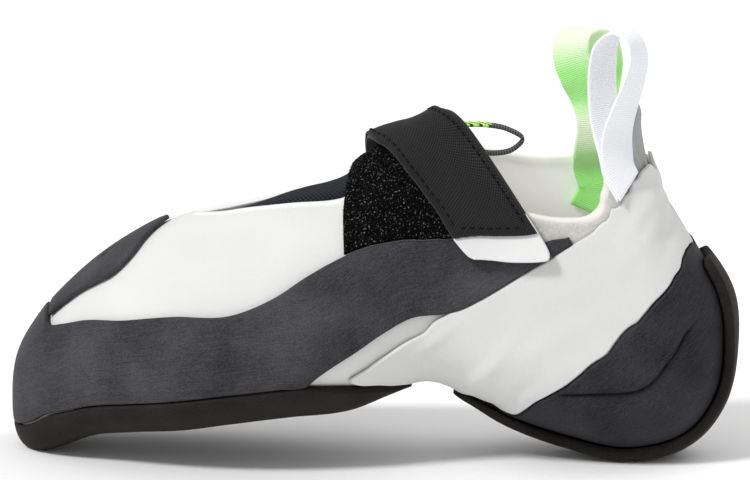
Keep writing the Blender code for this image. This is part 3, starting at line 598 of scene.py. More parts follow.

# %% [markdown]
# Climbing rubber is matt and nearly black. It is ground with a fine belt before the shoe leaves the last, which
# leaves faint streaks that follow each panel, and soft grey patches where the powder stays. Two stretched
# noises make the streaks and a broad one the patches. Where a piece carries a shade value, in its creases,
# nicks and grooves, the colour is painted nearly black as painted shade.

# %% Rubber
def rubber(name, dark, pale, streak=(0.02, 0.55, 1.0), roughness=0.60, patches=0.35):
    finish = Finish(name, roughness, specular=0.14)
    place = finish.cloth_place()
    body = finish.object_place()
    streaks = finish.noise(finish.stretch(place, streak), 1.6, 5.0, 0.65)
    fine_streaks = finish.noise(finish.stretch(place, [3.2 * s for s in streak], 0.06), 1.9, 3.0, 0.6)
    cloud = finish.noise(body, 38.0, 3.0, 0.55)
    grain = finish.noise(body, 2300.0, 2.0, 0.6)
    mask = (streaks - 0.5) * 0.9 + (fine_streaks - 0.5) + (cloud - 0.5) * patches * 4 + (grain - 0.5) * 1.4 + 0.40
    colour = finish.mix(mask.clipped(), dark, pale)
    # Painted shade: the colour goes nearly black where the mesh's shade value marks a crease, nick or groove.
    colour = finish.mix(finish.painted("shade"), colour, (0.001, 0.001, 0.001))
    rough = roughness + (cloud - 0.5) * 0.22
    return finish.surface(colour, rough, grain * 0.6 + fine_streaks * 0.5 + streaks * 0.4, 0.00012)


rand_rubber = rubber("Rand rubber", (0.016, 0.0155, 0.0185), (0.082, 0.080, 0.089), (0.06, 1.0, 1.0))
cup_rubber = rubber("Heel rubber", (0.006, 0.006, 0.0075), (0.044, 0.043, 0.051), (0.06, 0.8, 1.0))
sole_rubber = rubber("Sole rubber", (0.005, 0.0045, 0.004), (0.029, 0.025, 0.022), (0.08, 0.9, 1.0), 0.70)
print("three rubbers")

# %% [markdown]
# The upper's white microfibre is a dense felt with a faint leather grain. It is almost even, so most of what it
# shows is a soft bump. At the collar the same felt is left as suede, greyer and with a nap, and a cream edge
# is turned over the rim. The mesh paints which is which. It also marks the throat's folded band, painted a
# brighter white as a painted highlight, and the inner face, painted a brighter white and given a faint glow as
# painted light that lightens the inside.

# %% White microfibre and suede
def felt(name, white, soft=0.5):
    finish = Finish(name, 0.78, sheen=0.15, specular=0.3)
    body = finish.object_place()
    cloud = finish.noise(body, 30.0, 2.0, 0.5)
    grain = finish.noise(body, 900.0, 4.0, 0.6)
    nap = finish.noise(finish.stretch(body, (1.0, 1.0, 0.5)), 3200.0, 2.0, 0.6)
    shade = [v * 0.90 for v in white]
    mask = ((cloud - 0.5) * 1.6 + (grain - 0.5) * 0.6 + 0.30).clipped()
    return finish, body, finish.mix(mask, white, shade), grain * soft + nap * 0.4


finish, body, white, height = felt("White microfibre", (0.680, 0.678, 0.672))
suede_noise = finish.noise(finish.stretch(body, (1.0, 1.6, 0.7)), 1400.0, 4.0, 0.7)
patch_noise = finish.noise(body, 75.0, 3.0, 0.6)
suede_mask = ((suede_noise - 0.5) * 1.9 + (patch_noise - 0.5) * 1.4 + 0.42).clipped()
suede = finish.mix(suede_mask, (0.66, 0.645, 0.61), (0.42, 0.41, 0.385))
colour = finish.mix(finish.painted("suede"), white, suede)
# Painted highlight: the folded band along the throat is painted a brighter white.
colour = finish.mix(finish.painted("fold"), colour, (0.755, 0.755, 0.755))
# Painted light: the inner face is painted a brighter white than the outside, to lighten the inside.
colour = finish.mix(finish.painted("inside"), colour, (0.86, 0.85, 0.83))
colour = finish.mix(finish.painted("rim"), colour, (0.76, 0.74, 0.685))
# Painted glow: a faint emission on the inner face stands in for light coming through the thin wall.
painted_glow = finish.mix(finish.painted("inside"), (0.0, 0.0, 0.0), (0.115, 0.113, 0.108))
finish.feed(finish.shader.inputs["Emission Color"], painted_glow)
finish.shader.inputs["Emission Strength"].default_value = 1.0
u, v = finish.along_across()
knit = (u * 7.0).sine() * (v * 7.0).sine() * 0.5 + 0.5
knit_colour = finish.mix(knit, (0.13, 0.13, 0.155), (0.46, 0.46, 0.51))
colour = finish.mix(finish.painted("knit"), colour, knit_colour)
tab_colour = finish.mix(suede_mask, (0.33, 0.325, 0.315), (0.22, 0.217, 0.210))
colour = finish.mix(finish.painted("tab"), colour, tab_colour)
upper_felt = finish.surface(colour, None, height + suede_noise * finish.painted("suede") * 1.2, 0.00014)

finish, body, white, height = felt("Band microfibre", (0.650, 0.648, 0.644))
band_felt = finish.surface(white, None, height, 0.00012)
finish, body, white, height = felt("Strap microfibre", (0.700, 0.700, 0.697), 0.3)
white = finish.mix(finish.painted("under"), white, (0.010, 0.010, 0.011))
strap_felt = finish.surface(white, None, height, 0.00008)
print("three felts")

# %% [markdown]
# The upper is one shell from the toe tip to the heel tab. It is drawn in rows along the last, each from the rim on
# the inner side under the foot to the rim on the outer side. Its edges are rounded, the throat has a folded
# band along it, painted a brighter white as a painted highlight, and the collar is a little padded. Its inner
# face has a faint painted glow, painted light that stands in for light coming through the thin white wall.

# %% Upper
UPPER_WALL = 0.0018
FOLD_WIDTH = 0.0034
FOLD_RISE = 0.0003
SEAM_DEPTH = 0.00025
SEAM_WIDTH = 0.0005
COLLAR_EASE = (0.56, 0.60)
PAD_RISE, PAD_MIDDLE, PAD_REACH = 0.0006, 0.0030, 0.0028
WOBBLE_RISE, WOBBLE_RATE, WOBBLE_REACH = 0.00025, 90, 0.012
OPENING_ROWS = (
    (0.222, 1.000, -1.000), (0.226, 0.985, -0.995), (0.240, 0.966, -0.990), (0.285, 0.942, -0.976),
    (0.340, 0.908, -0.958), (0.387, 0.878, -0.942), (0.460, 0.850, -0.920), (0.520, 0.822, -0.890),
    (0.580, 0.790, -0.860), (0.640, 0.750, -0.825), (0.690, 0.708, -0.785), (0.728, 0.670, -0.745),
    (0.762, 0.632, -0.705), (0.796, 0.590, -0.660), (0.830, 0.556, -0.612), (0.865, 0.522, -0.562),
    (0.895, 0.478, -0.505), (0.917, 0.405, -0.425), (0.945, 0.318, -0.325), (0.975, 0.235, -0.240),
    (1.000, 0.130, -0.130),
)
SLIT_START = OPENING_ROWS[0][0]
upper_along = np.unique(np.concatenate([
    np.linspace(0, 0.10, 34), np.linspace(0.10, SLIT_START, 30), np.linspace(SLIT_START, 1.0, 190),
    [0.995, 0.998, 0.9992],
]))


def rim(along, side):
    """The girth of the upper's edge on one side, smoothed from the table."""
    rows = [row[0] for row in OPENING_ROWS]
    girth = smooth(rows, [row[side] for row in OPENING_ROWS], np.clip(along, rows[0], 1))
    return np.where(along <= rows[0], 1.0 if side == 1 else -1.0, girth)


outer_rim, inner_rim = rim(upper_along, 1), rim(upper_along, 2)
girth = inner_rim[:, None] + (outer_rim - inner_rim)[:, None] * shares(150, 0.5)
places = to_map(upper_along[:, None], girth)
skin = on_last(places, np.zeros(girth.shape))
around = run_of(skin, 1)
to_rim = np.minimum(around, around[:, -1:] - around)
to_rim = np.where(upper_along[:, None] <= SLIT_START, 1.0, to_rim)
to_rim = np.minimum(to_rim, run_of(skin, 0)[-1:] - run_of(skin, 0))
lip = 1 - rounded(to_rim, UPPER_WALL / 2)
throat = upper_along[:, None] < COLLAR_EASE[1]
fold = ease(FOLD_WIDTH - to_rim, -0.0003, 0.0003) * throat
collar = ease(upper_along, *COLLAR_EASE)[:, None] * np.ones(girth.shape)
pad = PAD_RISE * collar * hump(to_rim - PAD_MIDDLE, PAD_REACH)
wobble = WOBBLE_RISE * collar * np.sin(upper_along * WOBBLE_RATE)[:, None] * np.exp(-to_rim / WOBBLE_REACH)
fold_seam = SEAM_DEPTH * hump(to_rim - FOLD_WIDTH, SEAM_WIDTH) * throat
outer_lift = -UPPER_WALL / 2 * lip + FOLD_RISE * fold * (1 - lip) + pad + wobble - fold_seam
inner_lift = -UPPER_WALL + UPPER_WALL / 2 * lip - 0.7 * pad + wobble
above_band = ease(upper_along[:, None] - 0.05 * (np.abs(girth) - 0.2), 0.925, 0.930)
knit_start = 0.165 + 1.6 * (upper_along[:, None] - 0.942)
knit_share = ease(np.abs(girth) - knit_start, -0.008, 0.008)
none = np.zeros(girth.shape)
painted = {
    "suede": np.stack([none, collar]),
    "inside": np.stack([none + 1, none]),
    "fold": np.stack([none, fold * (1 - collar)]),
    "rim": collar * ease(0.0024 - to_rim, -0.0004, 0.0004) * (1 - above_band),
    "knit": np.stack([none, above_band * knit_share]),
    "tab": np.stack([0.5 * above_band, above_band * (1 - knit_share)]),
}
sheet("upper_dressed", "upper", on_last(places, inner_lift), on_last(places, outer_lift),
      upper_felt, painted=painted)

# %% [markdown]
# The front sole is a thick sheet under the foot that thins as it turns up to meet the rand. Its edge is ground
# round, and the seam with the rand is a dark line.

# %% Front sole
SOLE_EDGE = (
    (0.021, 0.000), (0.033, 0.276), (0.054, 0.372), (0.072, 0.404), (0.098, 0.388), (0.125, 0.380),
    (0.177, 0.378), (0.228, 0.385), (0.278, 0.383), (0.318, 0.378), (0.347, 0.370),
)
SOLE_TAIL = ((0.390, 0.318), (0.417, 0.243), (0.437, 0.150), (0.445, 0.090), (0.450, 0.000))
TAIL_THINNING = 0.45
TOE_ROOM = 1.4 * FACET_ROOM
CORNER_ROW = 3.0
rim_rows = SOLE_EDGE + SOLE_TAIL
rim_cuts = fine(0.0016, rim_rows)
edge_line = whole_line(rim_rows, rim_cuts, -0.6 * GAP)
middle = len(rim_cuts) - 1
corner = int(np.searchsorted(rim_cuts, CORNER_ROW))
places = across(edge_line[middle + corner:], edge_line[middle - corner::-1], shares(90, 0.8), toe=True)
down = np.clip(-last_normal(places)[..., 2], 0, 1)
reach = from_map(places)[0]
full = RAND_WALL + (SOLE_THICKNESS - RAND_WALL) * down**2
full = full * (1 - TAIL_THINNING * ease(reach, SOLE_TAIL[0][0], SOLE_TAIL[-1][0]))
bottom = SEAT + TOE_ROOM * (1 - ease(reach, 0.08, 0.16))
panel("outsole_dressed", "outsole", places, bottom, SEAT + full - bottom, sole_rubber,
      edge=0.0011, floor=True)

# %% [markdown]
# The rand is the rubber that is pulled round the toe and up each side of the instep. It is one panel between the
# sole's seam and a long crown line, closed on the inner and outer side by the ends of the two wings.

# %% Rand
WING_LOWER = (
    (0.362, 0.414), (0.380, 0.449), (0.415, 0.479), (0.450, 0.492), (0.475, 0.495), (0.497, 0.504),
    (0.520, 0.522), (0.558, 0.556), (0.597, 0.588), (0.645, 0.618), (0.689, 0.629), (0.718, 0.624),
    (0.740, 0.614),
)
RAND_UPPER = (
    (0.069, 1.000), (0.069, 0.950), (0.069, 0.900), (0.073, 0.800), (0.090, 0.745), (0.115, 0.705),
    (0.154, 0.661), (0.210, 0.640), (0.275, 0.625), (0.320, 0.650), (0.354, 0.682), (0.372, 0.694),
    (0.394, 0.698), (0.423, 0.683), (0.451, 0.664), (0.475, 0.655), (0.500, 0.652), (0.530, 0.658),
    (0.562, 0.664), (0.600, 0.666), (0.650, 0.662), (0.690, 0.652), (0.718, 0.641), (0.744, 0.622),
)
seam_rows = SOLE_EDGE + WING_LOWER
seam_cuts = fine(0.0016, seam_rows)
seam = whole_line(seam_rows, seam_cuts, GAP / 2)
crown = whole_line(RAND_UPPER, seam_cuts, -GAP / 2)
places = across(seam, crown, shares(52), toe=True)
panel("rand_dressed", "rand", places, SEAT, RAND_WALL, rand_rubber)

# %% [markdown]
# A thinner patch of the same rubber lies over the toes, for hooking them on holds. It has a short crease and two
# worn nicks near its outer edge, which are darkened with painted shade.

# %% Toe patch
TOE_PATCH_WALL = 0.0015
PATCH_EDGE = (
    (0.0705, 0.860), (0.088, 0.848), (0.106, 0.836), (0.124, 0.820), (0.140, 0.816), (0.154, 0.836),
    (0.165, 0.868), (0.175, 0.915), (0.186, 0.958), (0.198, 0.990),
)
patch_cuts = fine(0.0014, PATCH_EDGE)
outer_edge = line(PATCH_EDGE, patch_cuts, GAP / 2)
inner_edge = outer_edge * (-1, 1)
places = across(outer_edge, inner_edge, shares(64))


def nearest_mark(places, path):
    """Metres from each place to a path on the flat map, and the number of the nearest point of the path."""
    spots = last_surface(*from_map(places.reshape(-1, 2)))
    nearest = np.full(len(spots), 1.0)
    which = np.zeros(len(spots), int)
    for k, mark in enumerate(last_surface(*from_map(path))):
        away = np.linalg.norm(spots - mark, axis=1)
        which = np.where(away < nearest, k, which)
        nearest = np.minimum(nearest, away)
    return nearest, which


def groove(places, rows, width, depth):
    """A shallow crease along a line of (along, girth) rows."""
    away = nearest_mark(places, line(rows, cuts(0.0008, rows)))[0]
    return -depth * hump(away.reshape(places.shape[:2]), width)


crease = groove(places, ((0.125, 0.948), (0.132, 0.962), (0.141, 0.975)), 0.0007, 0.0005)
nicks = groove(places, ((0.1275, 0.966), (0.1295, 0.969)), 0.0008, 0.0006)
# The shade value paints the crease and the nicks darker, as painted shade, in proportion to their depth.
panel("toe_patch_dressed", "toe_patch", places, SEAT, TOE_PATCH_WALL, rand_rubber,
      relief=crease + nicks, painted={"shade": np.clip(-(crease + nicks) / 0.0006, 0, 1)})

# %% [markdown]
# The heel cup is molded rubber. A crest curves across each side of it: the rubber above the crest stands a little
# prouder, and below it drops in a sharp step that fades out towards both ends. A narrow groove lies at the
# foot of the step, darkened further with painted shade. The cup's edge is drawn from the table with its small
# waves averaged away.

# %% Heel cup
CREST_RISE = 0.0009
CREST_REACH = 0.010
STEP_DROP, STEP_REACH = 0.45, 0.0022
FOOT_DROP, FOOT_WIDTH, FOOT_SHADE = 1.3, 0.0006, 0.0008
STEP_FADE = (14, 20)
CUP_EDGE = (
    (0.500, 0.000), (0.506, 0.035), (0.515, 0.060), (0.528, 0.080), (0.538, 0.100), (0.545, 0.125),
    (0.551, 0.160), (0.557, 0.200), (0.567, 0.250), (0.582, 0.303), (0.600, 0.347), (0.619, 0.390),
    (0.643, 0.442), (0.668, 0.486), (0.695, 0.508), (0.722, 0.508), (0.747, 0.485), (0.770, 0.446),
    (0.795, 0.393), (0.818, 0.343), (0.840, 0.284), (0.857, 0.219), (0.867, 0.155), (0.872, 0.080),
    (0.873, 0.000),
)
CREST = ((0.600, 0.350), (0.640, 0.385), (0.690, 0.378), (0.735, 0.368), (0.765, 0.335), (0.795, 0.280))
cup_cuts = fine(0.0008, [(row[0], 0.0) for row in CUP_EDGE])


def ironed(points, reach=0.010):
    """The same line with its small waves averaged away. Past its ends it goes on as its mirror image."""
    before, after = 2 * points[0] - points[:0:-1], 2 * points[-1] - points[-2::-1]
    whole = np.concatenate([before, points, after])
    run = run_of(whole, 0)
    here = run[len(before):len(before) + len(points), None]
    weight = np.exp(-(((run - here) / reach) ** 2) / 2) * np.gradient(run)
    return weight @ whole / weight.sum(1, keepdims=True)


cup_edge = ironed(whole_line(CUP_EDGE, cup_cuts, -GAP / 2))
middle = len(cup_cuts) - 1
places = across(cup_edge[middle:], cup_edge[middle::-1], shares(220, 0.3), under=True)


def step_along(places, rows):
    """A sharp step along a line of rows, and painted shade at the places nearest the foot of the step."""
    path = line(rows, cuts(0.0006, rows))
    nearest, which = nearest_mark(places, path)
    inward = ((places.reshape(-1, 2) - path[which]) * sideways(path)[which]).sum(1) > 0
    ends = ease(which, 0, STEP_FADE[0]) * ease(len(path) - 1 - which, 0, STEP_FADE[1])
    above = np.where(inward, np.exp(-nearest / CREST_REACH), 0.0)
    below = np.where(inward, 0.0, -STEP_DROP * hump(nearest, STEP_REACH))
    below -= FOOT_DROP * hump(nearest, FOOT_WIDTH)
    # Painted shade: the colour is darkened in a narrow line along the foot of the step.
    dark = np.exp(-((nearest / FOOT_SHADE) ** 4))
    return [(value * ends).reshape(places.shape[:2]) for value in (CREST_RISE * (above + below), dark)]


mirrored = places * (-1, 1)
relief, dark = (a + b for a, b in zip(step_along(places, CREST), step_along(mirrored, CREST)))
panel("heel_cup_dressed", "heel_cup", places, SEAT, CUP_WALL, cup_rubber, relief=relief,
      painted={"shade": dark})

# %% [markdown]
# A thick strip of sole rubber runs from under the heel up its back. Its edges are ground round, and its tread is
# a little flattened, so that it stands on the floor.

# %% Heel strip
STRIP_FLATTEN = 0.25
STRIP_ACROSS = 44
FACES_DOWN = (0.80, 0.97)
STRIP_ROWS = (
    (0.486, 0.040, 0.30), (0.492, 0.072, 0.42), (0.503, 0.090, 0.58), (0.530, 0.098, 0.85), (0.570, 0.104, 1.00),
    (0.605, 0.120, 1.00), (0.625, 0.132, 1.00), (0.645, 0.138, 1.00), (0.665, 0.139, 1.00), (0.690, 0.137, 1.00),
    (0.720, 0.128, 1.00), (0.760, 0.126, 1.00), (0.790, 0.145, 1.00), (0.815, 0.165, 1.00), (0.835, 0.172, 0.95),
    (0.847, 0.150, 0.85), (0.854, 0.095, 0.70),
)
at = fine(0.0016, [(row[0], 0.0) for row in STRIP_ROWS])
strip_along = read_rows(STRIP_ROWS, at, 0)
strip_half = read_rows(STRIP_ROWS, at, 1)
places = to_map(strip_along[:, None], strip_half[:, None] * (2 * shares(STRIP_ACROSS) - 1))
low = 2 * SEAT + CUP_WALL
inner = on_last(places, np.full(places.shape[:2], low))
thick = STRIP_THICKNESS * read_rows(STRIP_ROWS, at, 2)[:, None]
fall = rounded(from_edge(inner), 0.0017)
outer = on_last(places, low + thick * (0.25 + 0.75 * fall))
centre = slice(STRIP_ACROSS // 2, STRIP_ACROSS // 2 + 1)
level = on_last(places, low + thick * np.ones(fall.shape))[:, centre, 2]
flatten = STRIP_FLATTEN * ease(-last_normal(places)[:, centre, 2], *FACES_DOWN)
outer[..., 2] += (level - outer[..., 2]) * flatten
outer[..., 2] = np.maximum(outer[..., 2], 0.0)
sheet("heel_strip_dressed", "heel_strip", inner, outer, sole_rubber)

# %% [markdown]
# The white band is pulled tight round the heel and under the arch to push the toes forward. Tension leaves soft
# shallow folds in it, which are listed here as long waves that fade in and out.

# %% Tension band
BAND_WALL = 0.0014
BAND_EDGE = (
    (0.453, 0.000), (0.448, 0.091), (0.440, 0.151), (0.420, 0.245), (0.397, 0.318), (0.392, 0.344),
    (0.410, 0.370), (0.440, 0.402), (0.468, 0.430), *WING_LOWER[5:12], (0.744, 0.612), (0.776, 0.587),
    (0.812, 0.553), (0.853, 0.503), (0.888, 0.420), (0.910, 0.343), (0.930, 0.252), (0.948, 0.135),
    (0.958, 0.000),
)
band_cuts = fine(0.0016, BAND_EDGE)
band_edge = whole_line(BAND_EDGE, band_cuts, -0.6 * GAP)
cup_side = ironed(whole_line(CUP_EDGE, band_cuts, 0.8 * GAP))
for edge_points in (band_edge, cup_side):
    edge_points[[0, -1], 0] = 0.0
places = across(cup_side, band_edge, shares(60))[:-1]


def fold_wave(places, centre, length, width, turn, depth):
    """One soft fold: a ridge of a given length and width that lies across the last at an angle."""
    spots = last_surface(*from_map(places))
    mid = last_surface(*centre)
    away = spots - mid
    flat_x = away[..., 0] * math.cos(turn) + away[..., 2] * math.sin(turn)
    flat_z = -away[..., 0] * math.sin(turn) + away[..., 2] * math.cos(turn)
    near = np.sign(spots[..., 1]) == np.sign(mid[1])
    return FOLD_DEPTH * depth * np.exp(-((flat_x / length) ** 2) - (flat_z / width) ** 2) * near


FOLD_DEPTH = 1.7
BAND_FOLDS = (
    (0.520, 0.300, 0.018, 0.0030, 0.9, 0.0005), (0.540, 0.220, 0.014, 0.0026, 0.7, -0.0004),
    (0.470, 0.380, 0.012, 0.0022, 0.6, 0.0003), (0.900, 0.300, 0.012, 0.0030, 1.1, 0.0005),
    (0.880, 0.240, 0.010, 0.0026, 1.3, -0.0004), (0.860, 0.360, 0.016, 0.0030, 0.9, 0.0003),
    (0.600, 0.480, 0.022, 0.0040, 0.5, 0.0003), (0.920, 0.160, 0.010, 0.0022, 1.4, 0.0004),
)
relief = sum(fold_wave(places, (a, side * g), long, wide, turn, deep)
             for a, g, long, wide, turn, deep in BAND_FOLDS for side in (1, -1))
panel("band_dressed", "tension_band", places, SEAT, BAND_WALL, band_felt, edge=0.0007,
      loop=True, relief=relief)
print("body pieces done")

# %% [markdown]
# The tongue is a stretchy knit that fills the slit and runs back under the strap. Its ribs cross each other in a
# herringbone, which two slanted waves in the colour and the bump give. It is padded, so it swells a little out of
# the slit in front of the fastener.

# %% Tongue
TONGUE_WALL = 0.0014
LINING_DROP = 0.0002
TONGUE_SWELL = 0.0034
SWELL_END = 0.428
TONGUE_ROWS = (
    (0.204, 0.950, -0.950), (0.215, 0.920, -0.925), (0.250, 0.885, -0.915), (0.320, 0.850, -0.895),
    (0.400, 0.815, -0.870), (0.480, 0.790, -0.850), (0.560, 0.765, -0.830), (0.610, 0.775, -0.840),
    (0.640, 0.820, -0.870),
)
finish = Finish("Black mesh", 0.85, specular=0.2)
u, v = finish.along_across()
rib = (u * 4.2 + v * 2.6).wave().power(1.4)
cross = (u * 2.4 - v * 4.4).wave()
speck = finish.noise(finish.object_place(), 1600.0, 2.0, 0.5)
mask = (rib * 0.55 + cross * 0.35 + (speck - 0.5) * 0.5).clipped()
tongue_mesh = finish.surface(finish.mix(mask, (0.004, 0.004, 0.006), (0.034, 0.036, 0.047)), None,
                             rib + cross * 0.7, 0.00025)
at = fine(0.0015, [(row[0], 1.0) for row in TONGUE_ROWS])
along, outer_side, inner_side = (read_rows(TONGUE_ROWS, at, k) for k in range(3))
girth = outer_side[:, None] + (2 + inner_side - outer_side)[:, None] * shares(48)
tongue_face = -UPPER_WALL - SEAT - LINING_DROP - TONGUE_WALL
places = to_map(along[:, None], girth)
ground = on_last(places, np.zeros(girth.shape))
inside_slit = np.full(girth.shape, 1.0)
for side, turn in ((1, 0), (2, 2)):
    edge_girth = turn + rim(along, side)[:, None]
    edge_points = on_last(to_map(along[:, None], edge_girth), np.zeros(edge_girth.shape))
    inward = np.sign((girth - edge_girth) * (1 - turn))
    inside_slit = np.minimum(inside_slit, inward * np.linalg.norm(ground - edge_points, axis=-1))
length_share = ease(along, 0.225, 0.36) * (1 - ease(along, SWELL_END - 0.02, SWELL_END))
swell = ease(inside_slit, 0.0002, 0.0030) * length_share[:, None]
panel("tongue_dressed", "tongue", places, tongue_face, TONGUE_WALL, tongue_mesh,
      relief=TONGUE_SWELL * swell)
print("tongue swells by", round(float(swell.max()) * TONGUE_SWELL * 1000, 1), "mm")

# %% [markdown]
# Inside, a thin board lined with felt lies on the bottom of the upper. It only shows through the collar.

# %% Insole
INSOLE_THICKNESS = 0.0022
INSOLE_ROWS = (
    (0.082, 0.150), (0.092, 0.200), (0.110, 0.240), (0.150, 0.275), (0.210, 0.290), (0.280, 0.285),
    (0.350, 0.270), (0.420, 0.255), (0.500, 0.250), (0.570, 0.250), (0.620, 0.245), (0.650, 0.210),
    (0.668, 0.150),
)
finish = Finish("Insole felt", 0.95, sheen=0.2)
speck = finish.noise(finish.object_place(), 1200.0, 3.0, 0.6)
insole_felt = finish.surface(finish.mix(speck, (0.35, 0.33, 0.30), (0.50, 0.48, 0.45)), None, speck, 0.0003)
at = fine(0.0025, [(row[0], 0.0) for row in INSOLE_ROWS])
along, half_girth = (read_rows(INSOLE_ROWS, at, k) for k in range(2))
low = -UPPER_WALL - SEAT - LINING_DROP - INSOLE_THICKNESS
places = to_map(along[:, None], half_girth[:, None] * (2 * shares(30) - 1))
panel("insole_dressed", "insole", places, low, INSOLE_THICKNESS, insole_felt)

# %% [markdown]
# The strap closes on a patch of loop fastener, a black pile. Tiny sparks of light on it are painted into its
# colour as painted highlights. The patch is a roughened panel, and a few thousand short arcs of thread stand on
# it, placed by a seeded random stream so that each run gives the same pile. Some threads are painted paler, also
# as painted highlights.

# %% Closure patch
CLOSURE_WALL = 0.0018
WING_START = 11
CLOSURE_ROWS = (
    (0.690, 0.391, 0.640), (0.740, 0.391, 0.640), (0.800, 0.392, 0.640), (0.880, 0.398, 0.625),
    (0.940, 0.404, 0.605), (1.000, 0.411, 0.580), (1.035, 0.418, 0.560),
)
finish = Finish("Loop fastener", 0.95, specular=0.02)
body = finish.object_place()
pile = finish.add("ShaderNodeTexVoronoi", {"feature": "F1"}, {"Vector": body, "Scale": 1250.0})
clumps = finish.noise(body, 420.0, 3.0, 0.6)
# Painted highlights: bright specks of colour stand in for light catching the pile.
glint_noise = finish.noise(body, 1500.0, 1.0, 0.5)
painted_glints = ((glint_noise - 0.63) * 9.0).clipped()
dark = finish.mix(clumps, (0.0005, 0.0005, 0.0005), (0.006, 0.006, 0.006))
pile_felt = finish.surface(finish.mix(painted_glints, dark, (0.16, 0.165, 0.16)), None, pile + clumps, 0.0008)
girths, front, rear = np.array(CLOSURE_ROWS).T
at = np.linspace(0, len(CLOSURE_ROWS) - 1, 110)
girths, front, rear = (smooth(range(len(CLOSURE_ROWS)), values, at) for values in (girths, front, rear))
along = front[:, None] + (rear - front)[:, None] * shares(110)
wing = line(RAND_UPPER, np.linspace(WING_START, len(RAND_UPPER) - 1, 200), 1.2 * GAP)
wing_along, wing_girth = from_map(wing)
lowest = np.interp(along, wing_along, wing_girth)
girth = lowest + (girths[-1] - lowest) * ((girths - girths[0]) / (girths[-1] - girths[0]))[:, None]
places = to_map(along, girth)
stream = np.random.default_rng(11)
rough_pile = stream.normal(0, 0.00012, places.shape[:2])
panel("closure_dressed", "closure_patch", places, SEAT, CLOSURE_WALL, pile_felt, edge=0.0008,
      relief=rough_pile)


def thread_mesh(name, paths, radius, material, sides):
    """Many short round threads as one piece. Each path is a few points, and its ends are closed."""
    points, faces = [], []
    for path in paths:
        path = np.asarray(path)
        ahead = unit(np.gradient(path, axis=0))
        side = unit(np.cross(ahead, (0.31, -0.83, 0.46)))
        other = np.cross(ahead, side)
        angles = np.arange(sides) * 2 * math.pi / sides
        taper = np.ones(len(path))
        taper[[0, -1]] = 0.55
        start = len(points)
        for k, spot in enumerate(path):
            for angle in angles:
                points.append(spot + radius * taper[k] * (side[k] * math.cos(angle) + other[k] * math.sin(angle)))
        for k in range(len(path) - 1):
            for a in range(sides):
                b = (a + 1) % sides
                near, far = start + k * sides, start + (k + 1) * sides
                faces.append([near + a, near + b, far + b, far + a])
        faces.append([start + a for a in range(sides)][::-1])
        faces.append([start + (len(path) - 1) * sides + a for a in range(sides)])
    new_piece(name, np.array(points), faces, material)


def pile_threads(count):
    """Short arcs that stand on the patch and lean every way."""
    rows, columns = places.shape[:2]
    i = stream.integers(2, rows - 2, count)
    j = stream.integers(2, columns - 2, count)
    foot = on_last(places[i, j], np.full(count, SEAT + CLOSURE_WALL - 0.0002))
    up = last_normal(places[i, j])
    lean = stream.normal(0, 1, (count, 3))
    lean = unit(lean - up * (lean * up).sum(1, keepdims=True))
    reach = stream.uniform(0.0004, 0.0008, (count, 1))
    tall = stream.uniform(0.0003, 0.0006, (count, 1))
    arc = ((0.0, 0.0), (0.25, 0.8), (0.75, 0.9), (1.0, 0.1))
    return np.stack([foot + lean * reach * a + up * tall * b for a, b in arc], 1)


thread = Finish("Pile thread", 0.40, specular=0.35)
# Painted highlights: the threads are painted paler in patches, where light would catch them.
painted_thread_glint = thread.noise(thread.object_place(), 900.0, 1.0, 0.5)
pile_colour = thread.mix(((painted_thread_glint - 0.5) * 4).clipped(), (0.002, 0.002, 0.0025), (0.07, 0.072, 0.07))
pile_thread = thread.surface(pile_colour)
thread_mesh("closure_pile", pile_threads(3200), 0.00006, pile_thread, 3)

# %% [markdown]
# The strap has two layers. The white microfibre base wraps over the instep and ends in a rounded tab, which
# stands a few millimetres off the shoe so that a finger can catch it. The black cover on it has an embossed
# weave of tiny slanted squares, and is sewn round its edge.

# %% Strap
STRAP_BASE = 0.0010
STRAP_COVER = 0.0010
COVER_START = 4
COVER_INSET = 0.0003
COVER_ACROSS = 60
COVER_SEAM = 0.00022
STITCH_INSET = 0.0019
WRAP = SEAT + CLOSURE_WALL
STRAP_ROWS = (
    (0.629, 0.572, 0.692, 2.00, 2.00, 0.008), (0.632, 0.564, 0.699, 1.95, 1.95, 0.008),
    (0.638, 0.559, 0.703, 1.85, 1.85, 0.008), (0.648, 0.554, 0.706, 1.70, 1.70, 0.008),
    (0.660, 0.549, 0.708, 1.50, 1.50, 0.008), (0.685, 0.543, 0.712, 1.20, 1.20, 0.006),
    (0.715, 0.534, 0.718, 1.05, 1.05, 0.003), (0.750, 0.516, 0.726, 1.00, 1.00, 0.000),
    (0.800, 0.497, 0.737, 1.00, 1.00, 0.000), (0.850, 0.484, 0.742, 1.00, 1.00, 0.000),
    (0.900, 0.472, 0.731, 1.00, 1.30, 0.000), (0.950, 0.457, 0.702, 1.00, 2.00, 0.000),
    (1.000, 0.448, 0.672, 1.00, 2.30, 0.000), (1.050, 0.441, 0.645, 1.00, 1.90, 0.000),
    (1.100, 0.434, 0.620, 0.80, 1.20, 0.000), (1.150, 0.429, 0.600, 0.45, 0.45, 0.000),
    (1.200, 0.426, 0.585, 0.15, 0.15, 0.000), (1.250, 0.424, 0.573, 0.00, 0.00, 0.000),
    (1.300, 0.423, 0.565, 0.00, 0.00, 0.000),
)


